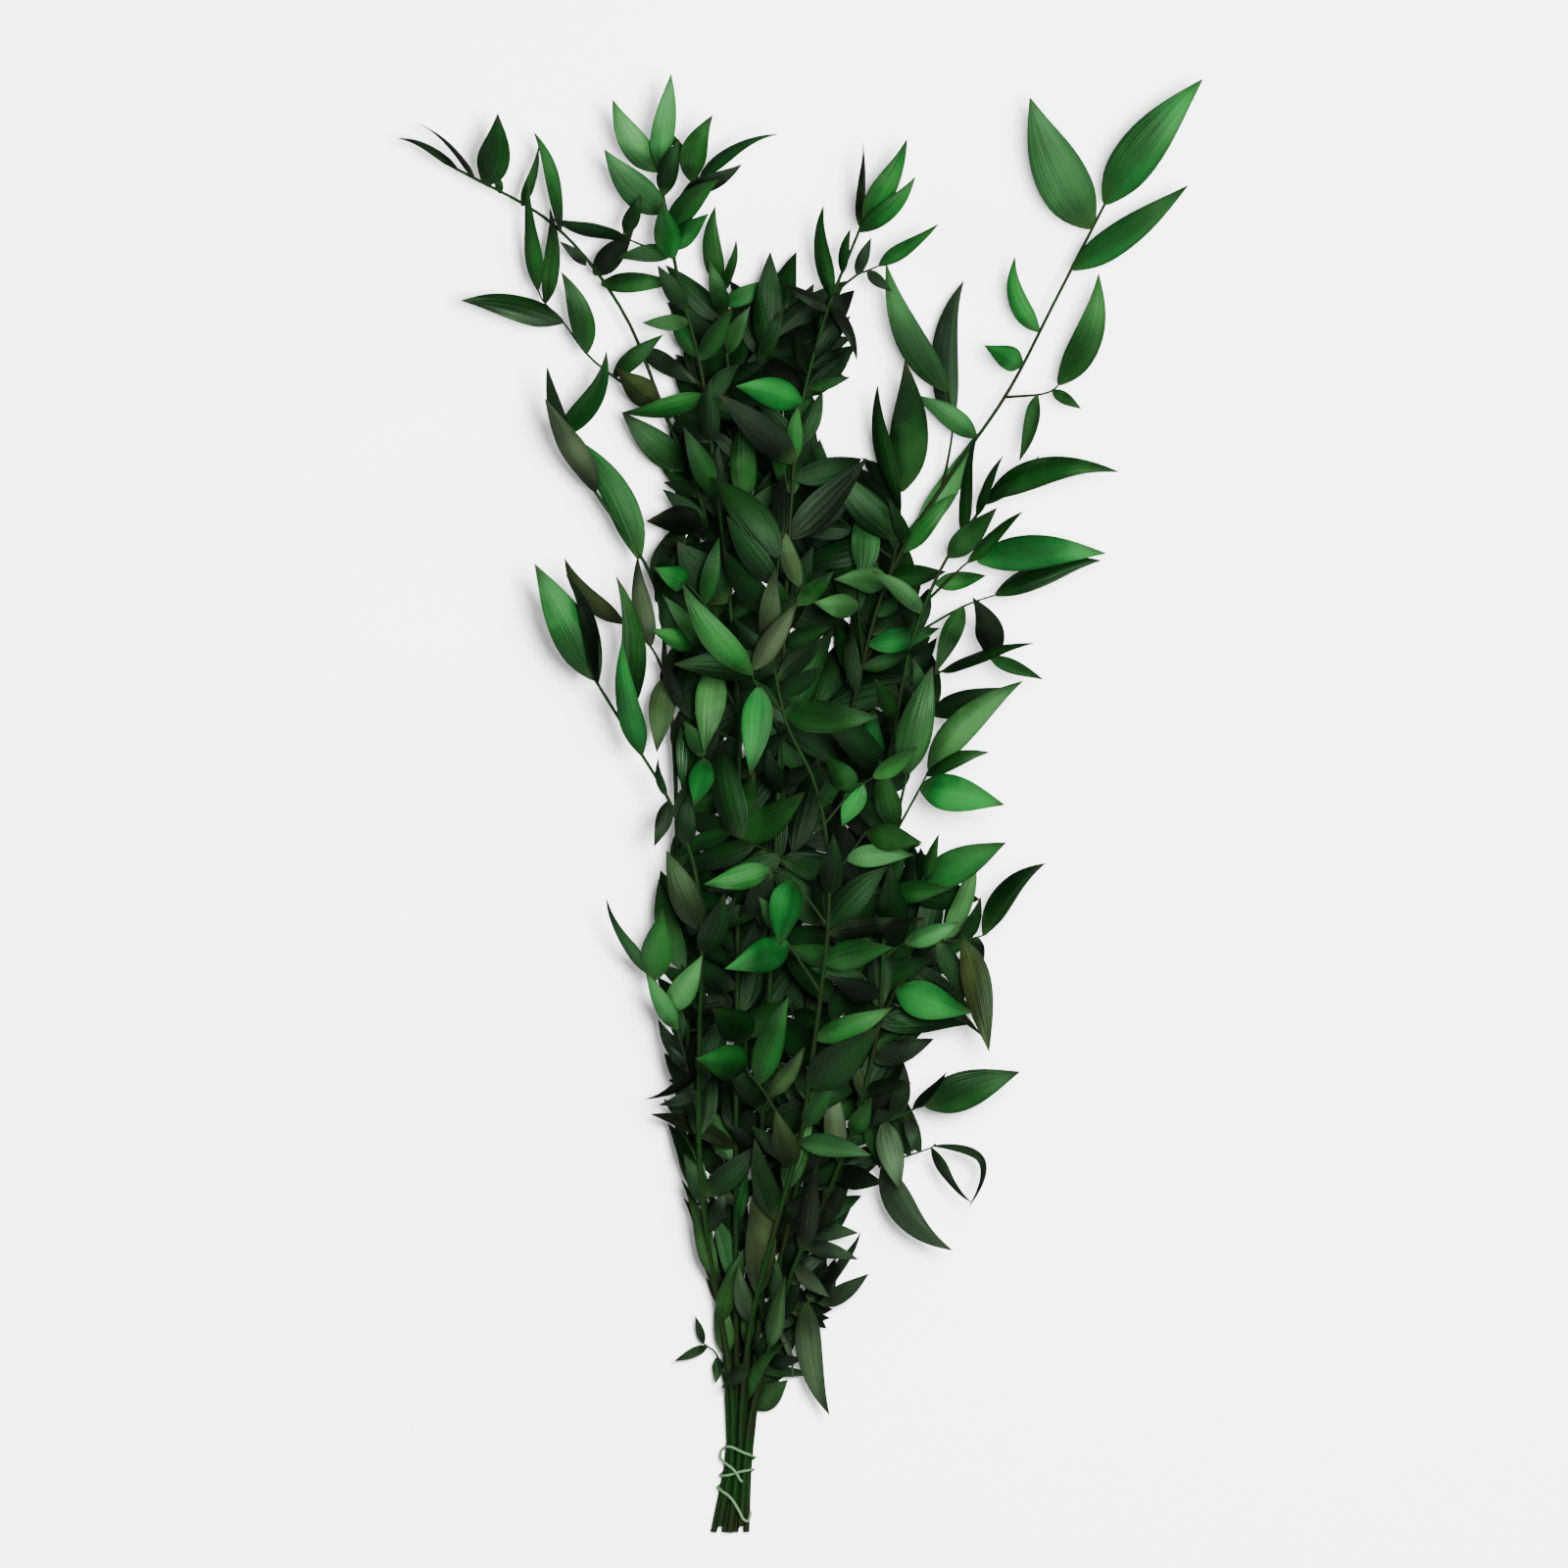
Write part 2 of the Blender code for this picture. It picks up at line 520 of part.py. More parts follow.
class Layout:
    """Places every stem, spray and leaf of the bunch."""

    def __init__(self):
        self.plates = flat_plate(LONG_ROWS), flat_plate(SHORT_ROWS)
        self.space = Space()
        self.stems = {}
        self.trees = {}
        self.sprays = []
        self.blades = []
        self.dropped = []
        self.random = random.Random(FILL_SEED)
        self.cover = None
        for name, plan in STEM_PLANS.items():
            self.place_stem(name, plan)
        jobs = []
        for name, plan in STEM_PLANS.items():
            for spray in plan["sprays"]:
                jobs.append(self.place_hand_spray(name, spray))
        for name, plan in STEM_PLANS.items():
            for leaf in plan["leaves"]:
                base = nearest_on_line(self.stems[name], leaf[0], leaf[1])
                self.place_hand_leaf(name, self.trees[name], base, leaf)
        for name, tree, points, leaves in jobs:
            for leaf in sorted(leaves, key=lambda leaf: -leaf[4]):
                base = nearest_on_line(points, leaf[0], leaf[1])
                self.place_hand_leaf(name, tree, base, leaf)
        self.hand_count = len(self.blades)
        self.cover = self.cover_tree()
        self.fill()

    def place_stem(self, name, plan):
        route = bundle_route(plan) + [Vector(point) for point in plan["route"]]
        line = smooth_line(route, STEM_SEGMENTS + 1)
        cut = [route[0], route[2], route[3]]
        line = cut + [p for p in line if p.y > route[3].y + 16.0]
        self.stems[name] = line
        tree, box = tube_shell(line, STEM_RADIUS, STEM_TIP_RADIUS, 0.1)
        self.trees[name] = tree
        self.space.add(name, Vector((0.0, 0.0, -999.0)), tree, box)

    def place_hand_spray(self, name, spray):
        (root_x, root_y), rise, leaves = spray
        root = nearest_on_line(self.stems[name], root_x, root_y)
        flat = [root] + [Vector((leaf[0], leaf[1], root.z)) for leaf in leaves]
        total = line_length(flat)
        for change in (0.0, 5.0, -5.0, 10.0, -10.0, 15.0, -15.0, 20.0, -20.0, 26.0, -26.0):
            points = []
            walked = 0.0
            for i, point in enumerate(flat):
                walked += (point - flat[i - 1]).length if i else 0.0
                f = walked / total
                points.append(point + UP * (rise + change) * f * (2.0 - f))
            if min(p.z for p in points) < 1.2:
                continue
            tree, box = tube_shell(points, SPRAY_RADIUS, SPRAY_TIP_RADIUS, CLEARANCE)
            if self.space.is_clear(name, root, tree, box, self.trees[name]):
                break
        else:
            self.dropped.append(("spray", name, root_x, root_y))
            return name, None, [], ()
        self.sprays.append((name, points))
        tree, box = tube_shell(points, SPRAY_RADIUS, SPRAY_TIP_RADIUS, 0.1)
        self.space.add(name, root, tree, box)
        return name, tree, points, leaves

    def place_hand_leaf(self, name, carrier, base, leaf):
        """A leaf seen in the picture plane: its slope and roll explain its length and width."""
        x, y, tip_x, tip_y, shown_width, tone = leaf[:6]
        shown = math.hypot(tip_x - base.x, tip_y - base.y)
        length = shown
        width = max(shown_width, 3.0)
        roll = 0.0
        slope = math.radians(self.random.uniform(4.0, 14.0))
        if shown_width > 0.40 * shown:
            length = shown_width / 0.38
            slope = math.acos(max(0.35, shown / length))
        elif shown_width < 0.27 * shown:
            width = min(0.30 * shown, 15.0)
            roll = math.acos(min(1.0, max(0.15, shown_width / width)))
        sway = self.random.uniform(-0.05, 0.05)
        bow = self.random.uniform(0.05, 0.13)
        twist = self.random.uniform(-0.5, 0.5)
        side = self.random.choice((1.0, -1.0))
        faces = (side, -side)
        if len(leaf) > 6:
            bow = max(bow, abs(leaf[6]) * math.sin(roll))
            sway = leaf[6] * math.cos(roll)
            faces = (math.copysign(1.0, leaf[6]),)
        for turn in (0.0, 0.3, -0.3, 0.6, -0.6, 0.9, 1.2):
            for change in (0.0, 0.2, -0.2, 0.4, -0.4, 0.6, -0.6, 0.8, -0.8, 1.0, -1.0):
                for face in faces:
                    angle = slope + change
                    if abs(angle) > 1.25:
                        continue
                    rise = math.tan(angle) * shown
                    if math.hypot(rise, shown) > 1.35 * max(length, 24.0):
                        continue
                    tip = Vector((tip_x, tip_y, base.z + rise))
                    blade = Blade(base, tip, width, (roll + turn) * face, bow, sway, twist, tone)
                    if self.try_blade(name, carrier, blade):
                        return
        self.dropped.append(("leaf", name) + leaf)

    def try_blade(self, name, carrier, blade, under=False):
        if blade.lying:
            low = 0.0
        else:
            low = min(blade.place(a, t, -BLADE_THICK / 2.0, blade.width / 2.0).z
                      for a, t in ((0, 1.0), (-1, 0.4), (1, 0.4), (-0.6, 0.72), (0.6, 0.72)))
            if low < 0.25 or max(blade.tip.z, blade.centre(0.5).z) > 117.0:
                return False
        if under and self.hides_hand_leaf(blade):
            return False
        test = blade.shape(self.plates, CLEARANCE)
        tree = BVHTree.FromBMesh(test)
        box = box_of([vert.co for vert in test.verts])
        test.free()
        if not self.space.is_clear(name, blade.base, tree, box, carrier):
            return False
        self.blades.append((name, blade))
        solid = blade.shape(self.plates)
        self.space.add(name, blade.base, BVHTree.FromBMesh(solid),
                       box_of([vert.co for vert in solid.verts]))
        solid.free()
        return True

    def cover_tree(self):
        """All hand-placed leaves together, to keep the rest from lying over them."""
        corners = []
        faces = []
        for name, blade in self.blades:
            solid = blade.shape(self.plates)
            solid.verts.index_update()
            start = len(corners)
            corners.extend(vert.co.copy() for vert in solid.verts)
            faces.extend([start + vert.index for vert in face.verts] for face in solid.faces)
            solid.free()
        return BVHTree.FromPolygons(corners, faces)

    def hides_hand_leaf(self, blade):
        for across, t in ((0, 0.3), (-0.8, 0.45), (0.8, 0.45), (0, 0.6), (0, 0.8), (0, 1.0)):
            point = blade.place(across, t, 0.0, blade.width / 2.0)
            left, right = body_edge(point.y)
            if not left - 3.0 < point.x < right + 3.0:
                return True
            if self.cover.ray_cast(point, -UP, 200.0)[0] is not None:
                return True
        return False

    def draw_spray(self, targets):
        """A spray drawn at random on some stem, with its leaves, not yet tested for room."""
        draw = self.random
        name = draw.choice(list(STEM_PLANS))
        line = self.stems[name]
        if targets and draw.random() < 0.7:
            i, j = draw.choice(targets)
            goal = Vector(((i + 0.5) * CELL, (j + 0.5) * CELL, 0.0))
            root = nearest_on_line(line, goal.x, max(FILL_LOW, goal.y - draw.uniform(8.0, 36.0)))
            goal.z = root.z + draw.uniform(-0.5, 0.5) * (goal.xy - root.xy).length
            length = min(56.0, max(12.0, (goal - root).length))
            heading = (goal - root).normalized()
        else:
            root, run = line_at(line, draw.uniform(FILL_START, line_length(line) - 8.0))
            side = run.cross(UP).normalized()
            outward = Matrix.Rotation(draw.uniform(0.0, math.tau), 3, run) @ side
            spread = draw.uniform(0.6, 1.1)
            heading = run * math.cos(spread) + outward * math.sin(spread)
            length = draw.uniform(20.0, 56.0)
        return self.grow_spray(name, root, heading, length)

    def grow_spray(self, name, root, heading, length):
        draw = self.random
        size = 0.62 if root.y < LOW_LEAVES else 1.0
        points = [root]
        for f in (0.5, 1.0):
            point = root + heading * length * f + UP * 6.0 * f * (1.0 - f)
            point.z = max(point.z, 2.2)
            points.append(point)
        reach = line_length(points)
        count = max(3, round(reach / 9.0))
        hand = draw.choice((1.0, -1.0))
        leaves = []
        for i in range(count):
            base, run = line_at(points, (reach - SINK) * (0.35 + 0.65 * i / (count - 1)))
            hand = -hand
            fan = 0.0 if i == count - 1 else hand * draw.uniform(0.6, 0.95)
            across = run.cross(UP).normalized()
            aim = run * math.cos(fan) + across * math.sin(fan)
            leaf_length = draw.uniform(32.0, 52.0) * size
            leaves.append((base, aim, leaf_length, leaf_length * draw.uniform(0.30, 0.37),
                           draw.uniform(-0.5, 0.5), draw.uniform(0.05, 0.14),
                           draw.uniform(-0.05, 0.05), draw.uniform(-0.6, 0.6),
                           draw.choice("MMMDDDOKBG")))
        cells = set()
        for leaf in leaves:
            cells |= cells_under(fill_blade(leaf, 0.0))
        return name, points, leaves, cells

    def fill(self):
        """Adds sprays, first where the body of leaves is still open from above."""
        open_cells = body_cells()
        for name, blade in self.blades:
            open_cells -= cells_under(blade)
        for name, root_x, root_y, goal_x, goal_y in FLOOR_SPRAYS:
            root = nearest_on_line(self.stems[name], root_x, root_y)
            reach = Vector((goal_x, goal_y, FLOOR_SPRAY_HEIGHT)) - root
            for trial in range(FILL_TRIES):
                draft = self.grow_spray(name, root, reach.normalized(), reach.length)
                if self.place_fill_spray(*draft[:3]):
                    break
        for step in range(FILL_STEPS):
            if len(self.blades) >= LEAF_COUNT:
                break
            targets = sorted(open_cells)
            drafts = [self.draw_spray(targets) for k in range(FILL_DRAFTS)]
            drafts.sort(key=lambda draft: -len(draft[3] & open_cells))
            for draft in drafts[:FILL_TRIES]:
                placed = self.place_fill_spray(*draft[:3])
                for blade in placed:
                    open_cells -= cells_under(blade)
                if placed:
                    break

    def place_fill_spray(self, name, points, leaves):
        root = points[0]
        left, right = body_edge(points[-1].y)
        if not left < points[-1].x < right:
            return []
        tree, box = tube_shell(points, SPRAY_RADIUS, SPRAY_TIP_RADIUS, CLEARANCE)
        if not self.space.is_clear(name, root, tree, box, self.trees[name]):
            return []
        tree, box = tube_shell(points, SPRAY_RADIUS, SPRAY_TIP_RADIUS, 0.1)
        mark = len(self.blades), len(self.space.items)
        self.space.add(name, root, tree, box)
        for leaf in leaves:
            for lift in (0.0, 0.3, -0.3, 0.6, -0.6, 0.9):
                if self.try_blade(name, tree, fill_blade(leaf, lift), under=True):
                    break
        placed = [blade for owner, blade in self.blades[mark[0]:]]
        if len(placed) < 3:
            del self.blades[mark[0]:]
            del self.space.items[mark[1]:]
            return []
        self.sprays.append((name, points))
        return placed


def fill_blade(leaf, lift):
    """Leaf of a drawn spray, raised by lift. One that would dip into the surface lies on it."""
    base, aim, length, width, roll, bow, sway, twist, tone = leaf
    tip = base + (aim + UP * lift).normalized() * length
    lying = tip.z < 3.0
    if lying:
        tip.z = BLADE_THICK / 2.0
    return Blade(base, tip, width, roll, bow, sway, twist, tone, True, lying)


def cells_under(blade):
    """Cells of the plan that a leaf covers."""
    cells = set()
    for t in (0.12, 0.26, 0.40, 0.54, 0.68, 0.82):
        for across in (-0.7, 0.0, 0.7):
            point = blade.place(across, t, 0.0, blade.width / 2.0)
            cells.add((math.floor(point.x / CELL), math.floor(point.y / CELL)))
    return cells


def body_cells():
    cells = set()
    for j in range(math.floor(FILL_LOW / CELL), math.floor(FILL_HIGH / CELL)):
        left, right = body_edge((j + 0.5) * CELL)
        for i in range(math.floor(left / CELL) + 1, math.floor(right / CELL)):
            cells.add((i, j))
    return cells


# Solids

def to_world(point):
    return Vector((point.x - CENTRE_X, point.y - CENTRE_Y, point.z)) * MM


def new_material(name, colour, roughness):
    material = bpy.data.materials.new(name)
    material.use_nodes = True
    shader = material.node_tree.nodes["Principled BSDF"]
    shader.inputs["Base Color"].default_value = (*colour, 1.0)
    shader.inputs["Roughness"].default_value = roughness
    material.diffuse_color = (*colour, 1.0)
    return material


def tube_curve(name, points, radius, tip_radius, bevel_resolution):
    curve = bpy.data.curves.new(name, "CURVE")
    curve.dimensions = "3D"
    curve.bevel_depth = radius * MM
    curve.bevel_resolution = bevel_resolution
    curve.use_fill_caps = True
    curve.twist_mode = "Z_UP"
    spline = curve.splines.new("POLY")
    spline.points.add(len(points) - 1)
    for i, point in enumerate(points):
        taper = 1.0 + (tip_radius / radius - 1.0) * i / (len(points) - 1)
        spline.points[i].co = (*to_world(point), 1.0)
        spline.points[i].radius = taper
    return bpy.data.objects.new(name, curve)


def tube_mesh(name, points, radius, tip_radius, bevel_resolution, collection):
    """A tapering tube along a line, as a closed mesh."""
    guide = tube_curve(name + "_line", points, radius, tip_radius, bevel_resolution)
    collection.objects.link(guide)
    bpy.context.view_layer.update()
    graph = bpy.context.evaluated_depsgraph_get()
    mesh = bpy.data.meshes.new_from_object(guide.evaluated_get(graph))
    mesh.name = name
    curve = guide.data
    bpy.data.objects.remove(guide)
    bpy.data.curves.remove(curve)
    close = bmesh.new()
    close.from_mesh(mesh)
    bmesh.ops.remove_doubles(close, verts=close.verts, dist=1e-6)
    face_outward(close)
    close.to_mesh(mesh)
    close.free()
    solid = bpy.data.objects.new(name, mesh)
    collection.objects.link(solid)
    return solid


def blade_mesh(name, blade, plates, collection):
    shaped = blade.shape(plates)
    for vert in shaped.verts:
        vert.co = to_world(vert.co)
    face_outward(shaped)
    mesh = bpy.data.meshes.new(name)
    shaped.to_mesh(mesh)
    shaped.free()
    solid = bpy.data.objects.new(name, mesh)
    collection.objects.link(solid)
    return solid


def join_all(base, others):
    """Union of the base and a collection of solids, as one mesh."""
    union = base.modifiers.new("union", "BOOLEAN")
    union.operation = "UNION"
    union.operand_type = "COLLECTION"
    union.collection = others
    union.solver = "MANIFOLD"
    bpy.context.view_layer.update()
    graph = bpy.context.evaluated_depsgraph_get()
    mesh = bpy.data.meshes.new_from_object(base.evaluated_get(graph))
    base.modifiers.clear()
    base.data = mesh
    for piece in list(others.objects):
        shape = piece.data
        bpy.data.objects.remove(piece)
        bpy.data.meshes.remove(shape)
    bpy.data.collections.remove(others)


def build_stem(name, colour, layout, collection):
    stem = tube_mesh(name, layout.stems[name], STEM_RADIUS, STEM_TIP_RADIUS, 1, collection)
    others = bpy.data.collections.new(name + "_growth")
    bpy.context.scene.collection.children.link(others)
    number = 0
    for owner, points in layout.sprays:
        if owner == name:
            number += 1
            tube_mesh(f"{name}_spray_{number:02d}", points, SPRAY_RADIUS, SPRAY_TIP_RADIUS, 0, others)
    number = 0
    for owner, blade in layout.blades:
        if owner == name:
            number += 1
            blade_mesh(f"{name}_leaf_{number:02d}", blade, layout.plates, others)
    join_all(stem, others)
    stem.data.materials.clear()
    stem.data.materials.append(new_material(name + "_green", colour, STEM_ROUGHNESS))
    return stem


# String

def hull_around(layout, y, reach):
    """Convex outline, in x and z, round all stems at one place along the bundle."""
    ring = []
    for line in layout.stems.values():
        for a, b in zip(line, line[1:]):
            if a.y <= y <= b.y:
                point = a.lerp(b, (y - a.y) / (b.y - a.y))
                for k in range(24):
                    angle = math.tau * k / 24.0
                    ring.append((point.x + reach * math.cos(angle), point.z + reach * math.sin(angle)))
                break
    ring.sort()
    outline = []
    for sweep in (ring, ring[::-1]):
        half = []
        for point in sweep:
            while len(half) > 1 and turn_of(half[-2], half[-1], point) <= 0.0:
                half.pop()
            half.append(point)
        outline.extend(half[:-1])
    return outline


def turn_of(a, b, c):
    return (b[0] - a[0]) * (c[1] - a[1]) - (b[1] - a[1]) * (c[0] - a[0])


def string_point(layout, angle, y, lift):
    """Point of the string's centre line at an angle round the bundle, 90 degrees being on top."""
    outline = hull_around(layout, y, STEM_RADIUS + STRING_GAP + STRING_RADIUS)
    mid_x = sum(p[0] for p in outline) / len(outline)
    mid_z = sum(p[1] for p in outline) / len(outline)
    dx = math.cos(math.radians(angle))
    dz = math.sin(math.radians(angle))
    for (ax, az), (bx, bz) in zip(outline, outline[1:] + outline[:1]):
        ex, ez = bx - ax, bz - az
        cross = dx * ez - dz * ex
        if abs(cross) < 1e-9:
            continue
        far = ((ax - mid_x) * ez - (az - mid_z) * ex) / cross
        along = ((ax - mid_x) * dz - (az - mid_z) * dx) / cross
        if far > 0.0 and -1e-6 <= along <= 1.000001:
            return Vector((mid_x + dx * (far + lift), y, mid_z + dz * (far + lift)))


# Route of the string: angle round the bundle, place along it and height over the stems
STRING_ROUTE = (
    (62, -327.5, 0.2), (76, -326.0, 0.6), (92, -323.4, 1.75), (112, -321.0, 0.8), (135, -319.2, 0.2),
    (160, -317.6, 0.7), (178, -315.4, 1.3), (176, -312.6, 1.0), (158, -310.8, 0.3), (130, -310.6, 0.0),
    (90, -312.4, 0.0), (45, -314.4, 0.0), (0, -316.0, 0.0), (-45, -317.4, 0.0), (-90, -319.4, 0.0),
    (-135, -322.0, 0.0), (-180, -324.4, 0.0), (-225, -324.4, 0.0), (-270, -323.0, 0.0),
    (-315, -322.0, 0.0), (-360, -321.8, 0.0), (-405, -323.4, 0.0), (-450, -326.0, 0.0),
    (-495, -328.4, 0.0), (-540, -330.2, 0.0), (-568, -331.4, 0.3), (-600, -333.6, 0.8),
    (-630, -337.0, 1.2), (-655, -341.5, 1.5), (-672, -345.6, 1.6), (-686, -346.6, 1.6),
    (-694, -344.6, 1.5), (-697, -341.8, 1.4),
)


def build_string(layout, collection):
    knots = [Vector(knot) for knot in STRING_ROUTE]
    path = smooth_line(knots, STRING_POINTS)
    points = [string_point(layout, knot.x, knot.y, knot.z) for knot in path]
    string = tube_mesh("tie", points, STRING_RADIUS, STRING_RADIUS, 1, collection)
    string.data.materials.append(new_material("tie_green", STRING_COLOUR, STRING_ROUGHNESS))
    return string


def main():
    for thing in list(bpy.data.objects):
        bpy.data.objects.remove(thing, do_unlink=True)
    bunch = bpy.data.collections.new("dried_ruscus_bunch")
    bpy.context.scene.collection.children.link(bunch)
    layout = Layout()
    for (name, colour) in zip(STEM_PLANS, STEM_COLOURS):
        build_stem(name, colour, layout, bunch)
    build_string(layout, bunch)


main()
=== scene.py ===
import json
import math
import random
from itertools import product

import bmesh
import bpy
from mathutils import Matrix, Vector
from mathutils.bvhtree import BVHTree

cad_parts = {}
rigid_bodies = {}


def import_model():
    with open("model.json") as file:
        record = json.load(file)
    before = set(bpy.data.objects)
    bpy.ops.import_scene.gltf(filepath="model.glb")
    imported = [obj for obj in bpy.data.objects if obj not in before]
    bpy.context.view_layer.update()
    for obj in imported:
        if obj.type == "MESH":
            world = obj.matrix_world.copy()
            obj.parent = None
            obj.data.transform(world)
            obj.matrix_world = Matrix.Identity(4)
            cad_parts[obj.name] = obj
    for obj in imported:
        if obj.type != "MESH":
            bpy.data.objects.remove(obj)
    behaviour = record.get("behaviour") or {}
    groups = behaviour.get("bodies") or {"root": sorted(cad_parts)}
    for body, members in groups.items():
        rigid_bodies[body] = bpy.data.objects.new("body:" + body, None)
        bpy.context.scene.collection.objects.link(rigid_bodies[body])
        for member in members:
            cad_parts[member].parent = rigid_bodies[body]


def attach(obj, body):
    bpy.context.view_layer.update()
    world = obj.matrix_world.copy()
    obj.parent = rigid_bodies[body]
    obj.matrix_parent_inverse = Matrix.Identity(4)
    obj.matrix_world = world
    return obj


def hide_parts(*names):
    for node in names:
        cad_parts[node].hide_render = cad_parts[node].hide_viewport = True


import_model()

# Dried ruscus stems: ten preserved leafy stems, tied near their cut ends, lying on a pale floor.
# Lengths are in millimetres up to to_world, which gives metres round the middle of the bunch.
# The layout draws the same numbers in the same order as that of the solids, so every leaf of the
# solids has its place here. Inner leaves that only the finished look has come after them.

MM = 0.001
CENTRE_X = 6.0
CENTRE_Y = -1.1
UP = Vector((0.0, 0.0, 1.0))
TINY = 1e-9

# Stems
STEM_RADIUS = 1.6
STEM_TIP_RADIUS = 0.75
STEM_SEGMENTS = 13
SPRAY_RADIUS = 0.95
SPRAY_TIP_RADIUS = 0.5
SHELL_CORNER = 0.75

# Bundle at the string: ten stems in rows of three, four and three
STEM_PITCH = 3.5
ROW_PITCH = STEM_PITCH * math.sqrt(3.0) / 2.0
BUNDLE_HEIGHT = 6.5
CUT_HEIGHT = 5.0
BUNDLE_AXIS = ((-28.0, -352.0), (-26.0, -337.0), (-24.4, -322.0), (-23.0, -308.0), (-22.0, -298.0))
CUT_SPLAY = 1.5
CUT_STEP = 3.0
ROW_SPREAD = 1.6
ROW_RISE = 2.2
CUT_GAP = 16.0
FAR_BELOW = Vector((0.0, 0.0, -999.0))

# Leaves
BLADE_THICK = 0.7
FRAME_STEP = 0.04
TWIST_FROM = 0.3
LYING_DROP = 0.4
LONG_ROWS = ((0.0, 0.0), (0.14, 0.66), (0.40, 1.0), (0.72, 0.62), (1.0, 0.0))
SHORT_ROWS = ((0.0, 0.0), (0.24, 0.94), (0.62, 0.82), (1.0, 0.0))
LONG_LEAF = 40.0
SINK = 1.5
CLEARANCE = 0.45
TWIG_CLEARANCE = 0.1
ROOT_ZONE = 6.0
WIDE_SHARE = 0.40
USUAL_SHARE = 0.38
NARROW_SHARE = 0.27
LEAF_FLOOR = 0.25
LEAF_CEILING = 117.0
LYING_BELOW = 3.0
TWIG_FLOOR = 1.2
STEEPEST = 1.25
RISE_CHANGES = (0.0, 5.0, -5.0, 10.0, -10.0, 15.0, -15.0, 20.0, -20.0, 26.0, -26.0)
SLOPE_CHANGES = (0.0, 0.2, -0.2, 0.4, -0.4, 0.6, -0.6, 0.8, -0.8, 1.0, -1.0)
TURNS = (0.0, 0.3, -0.3, 0.6, -0.6, 0.9, 1.2)
LIFTS = (0.0, 0.3, -0.3, 0.6, -0.6, 0.9)

# String
STRING_RADIUS = 0.65
STRING_GAP = 0.3

# Left and right edge of the closed body of leaves, seen from above
BODY_EDGE = (
    (-300, -27, -12), (-280, -30, 0), (-250, -34, 18), (-230, -38, 22), (-200, -43, 27),
    (-150, -58, 58), (-110, -60, 60), (-104, -60, 95), (-50, -62, 92), (-40, -62, 88),
    (-15, -52, 56), (0, -50, 50), (20, -50, 58), (50, -54, 72), (100, -60, 66), (165, -58, 46),
    (172, -57, 14), (198, -52, 12), (204, -50, 30), (250, -60, 30), (300, -64, -30),
    (320, -64, -40),
)

# Place of each stem in the bundle: step across and row
STEM_PLACES = {
    "stem_01": (-1.0, -1), "stem_02": (-0.5, 0), "stem_03": (0.0, -1), "stem_04": (0.5, 0),
    "stem_05": (1.0, -1), "stem_06": (1.5, 0), "stem_07": (1.0, 1), "stem_08": (-1.0, 1),
    "stem_09": (-1.5, 0), "stem_10": (0.0, 1),
}

# Each stem above the string
STEM_ROUTES = {
    "stem_01": (
        (-26, -250, 14), (-30, -150, 20), (-32, -50, 25), (-33, 50, 29), (-40, 140, 33), (-60, 190, 35),
        (-72, 220, 36), (-86, 250, 38), (-103, 274, 40), (-130, 286, 42), (-160, 306, 45),
    ),
    "stem_02": (
        (-25, -250, 19), (-25, -150, 38), (-24, -50, 50), (-24, 50, 56), (-34, 150, 58), (-46, 235, 57),
        (-57, 264, 56), (-62, 290, 56), (-62, 306, 57),
    ),
    "stem_03": (
        (-18, -250, 13), (-12, -150, 17), (-8, -50, 19), (-8, 50, 22), (-20, 150, 26), (-32, 232, 30),
        (-33, 252, 31),
    ),
    "stem_04": (
        (-19, -250, 19), (-12, -150, 40), (-7, -50, 54), (-3, 50, 61), (2, 150, 62), (8, 200, 60),
        (20, 240, 58), (36, 280, 57),
    ),
    "stem_05": (
        (-14, -250, 14), (2, -150, 20), (16, -50, 25), (30, 40, 29), (45, 100, 34), (60, 130, 37),
        (91, 178, 41), (108, 202, 43), (118, 225, 45), (137, 257, 47), (145, 277, 48), (153, 290, 49),
    ),
    "stem_06": (
        (-10, -250, 20), (12, -150, 40), (34, -50, 53), (48, 20, 60), (60, 80, 64), (76, 118, 66),
        (97, 148, 67),
    ),
    "stem_07": (
        (-11, -270, 19), (2, -225, 34), (22, -180, 50), (36, -140, 62), (44, -100, 71), (46, -60, 77),
        (50, -20, 81), (57, 16, 84),
    ),
    "stem_08": (
        (-30, -262, 20), (-40, -200, 42), (-43, -150, 55), (-42, -100, 66), (-42, -45, 75),
        (-50, -14, 78), (-60, 8, 80), (-69, 22, 80), (-83, 45, 78), (-93, 61, 77),
    ),
    "stem_09": (
        (-32, -250, 19), (-45, -150, 34), (-52, -50, 42), (-55, 30, 47), (-63, 100, 52), (-74, 124, 54),
        (-93, 150, 57), (-105, 165, 59), (-112, 178, 61),
    ),
    "stem_10": (
        (-20, -262, 22), (-8, -210, 42), (6, -160, 60), (13, -110, 75), (19, -60, 86), (18, -10, 92),
        (7, 25, 95), (-3, 45, 95), (-8, 74, 92),
    ),
}

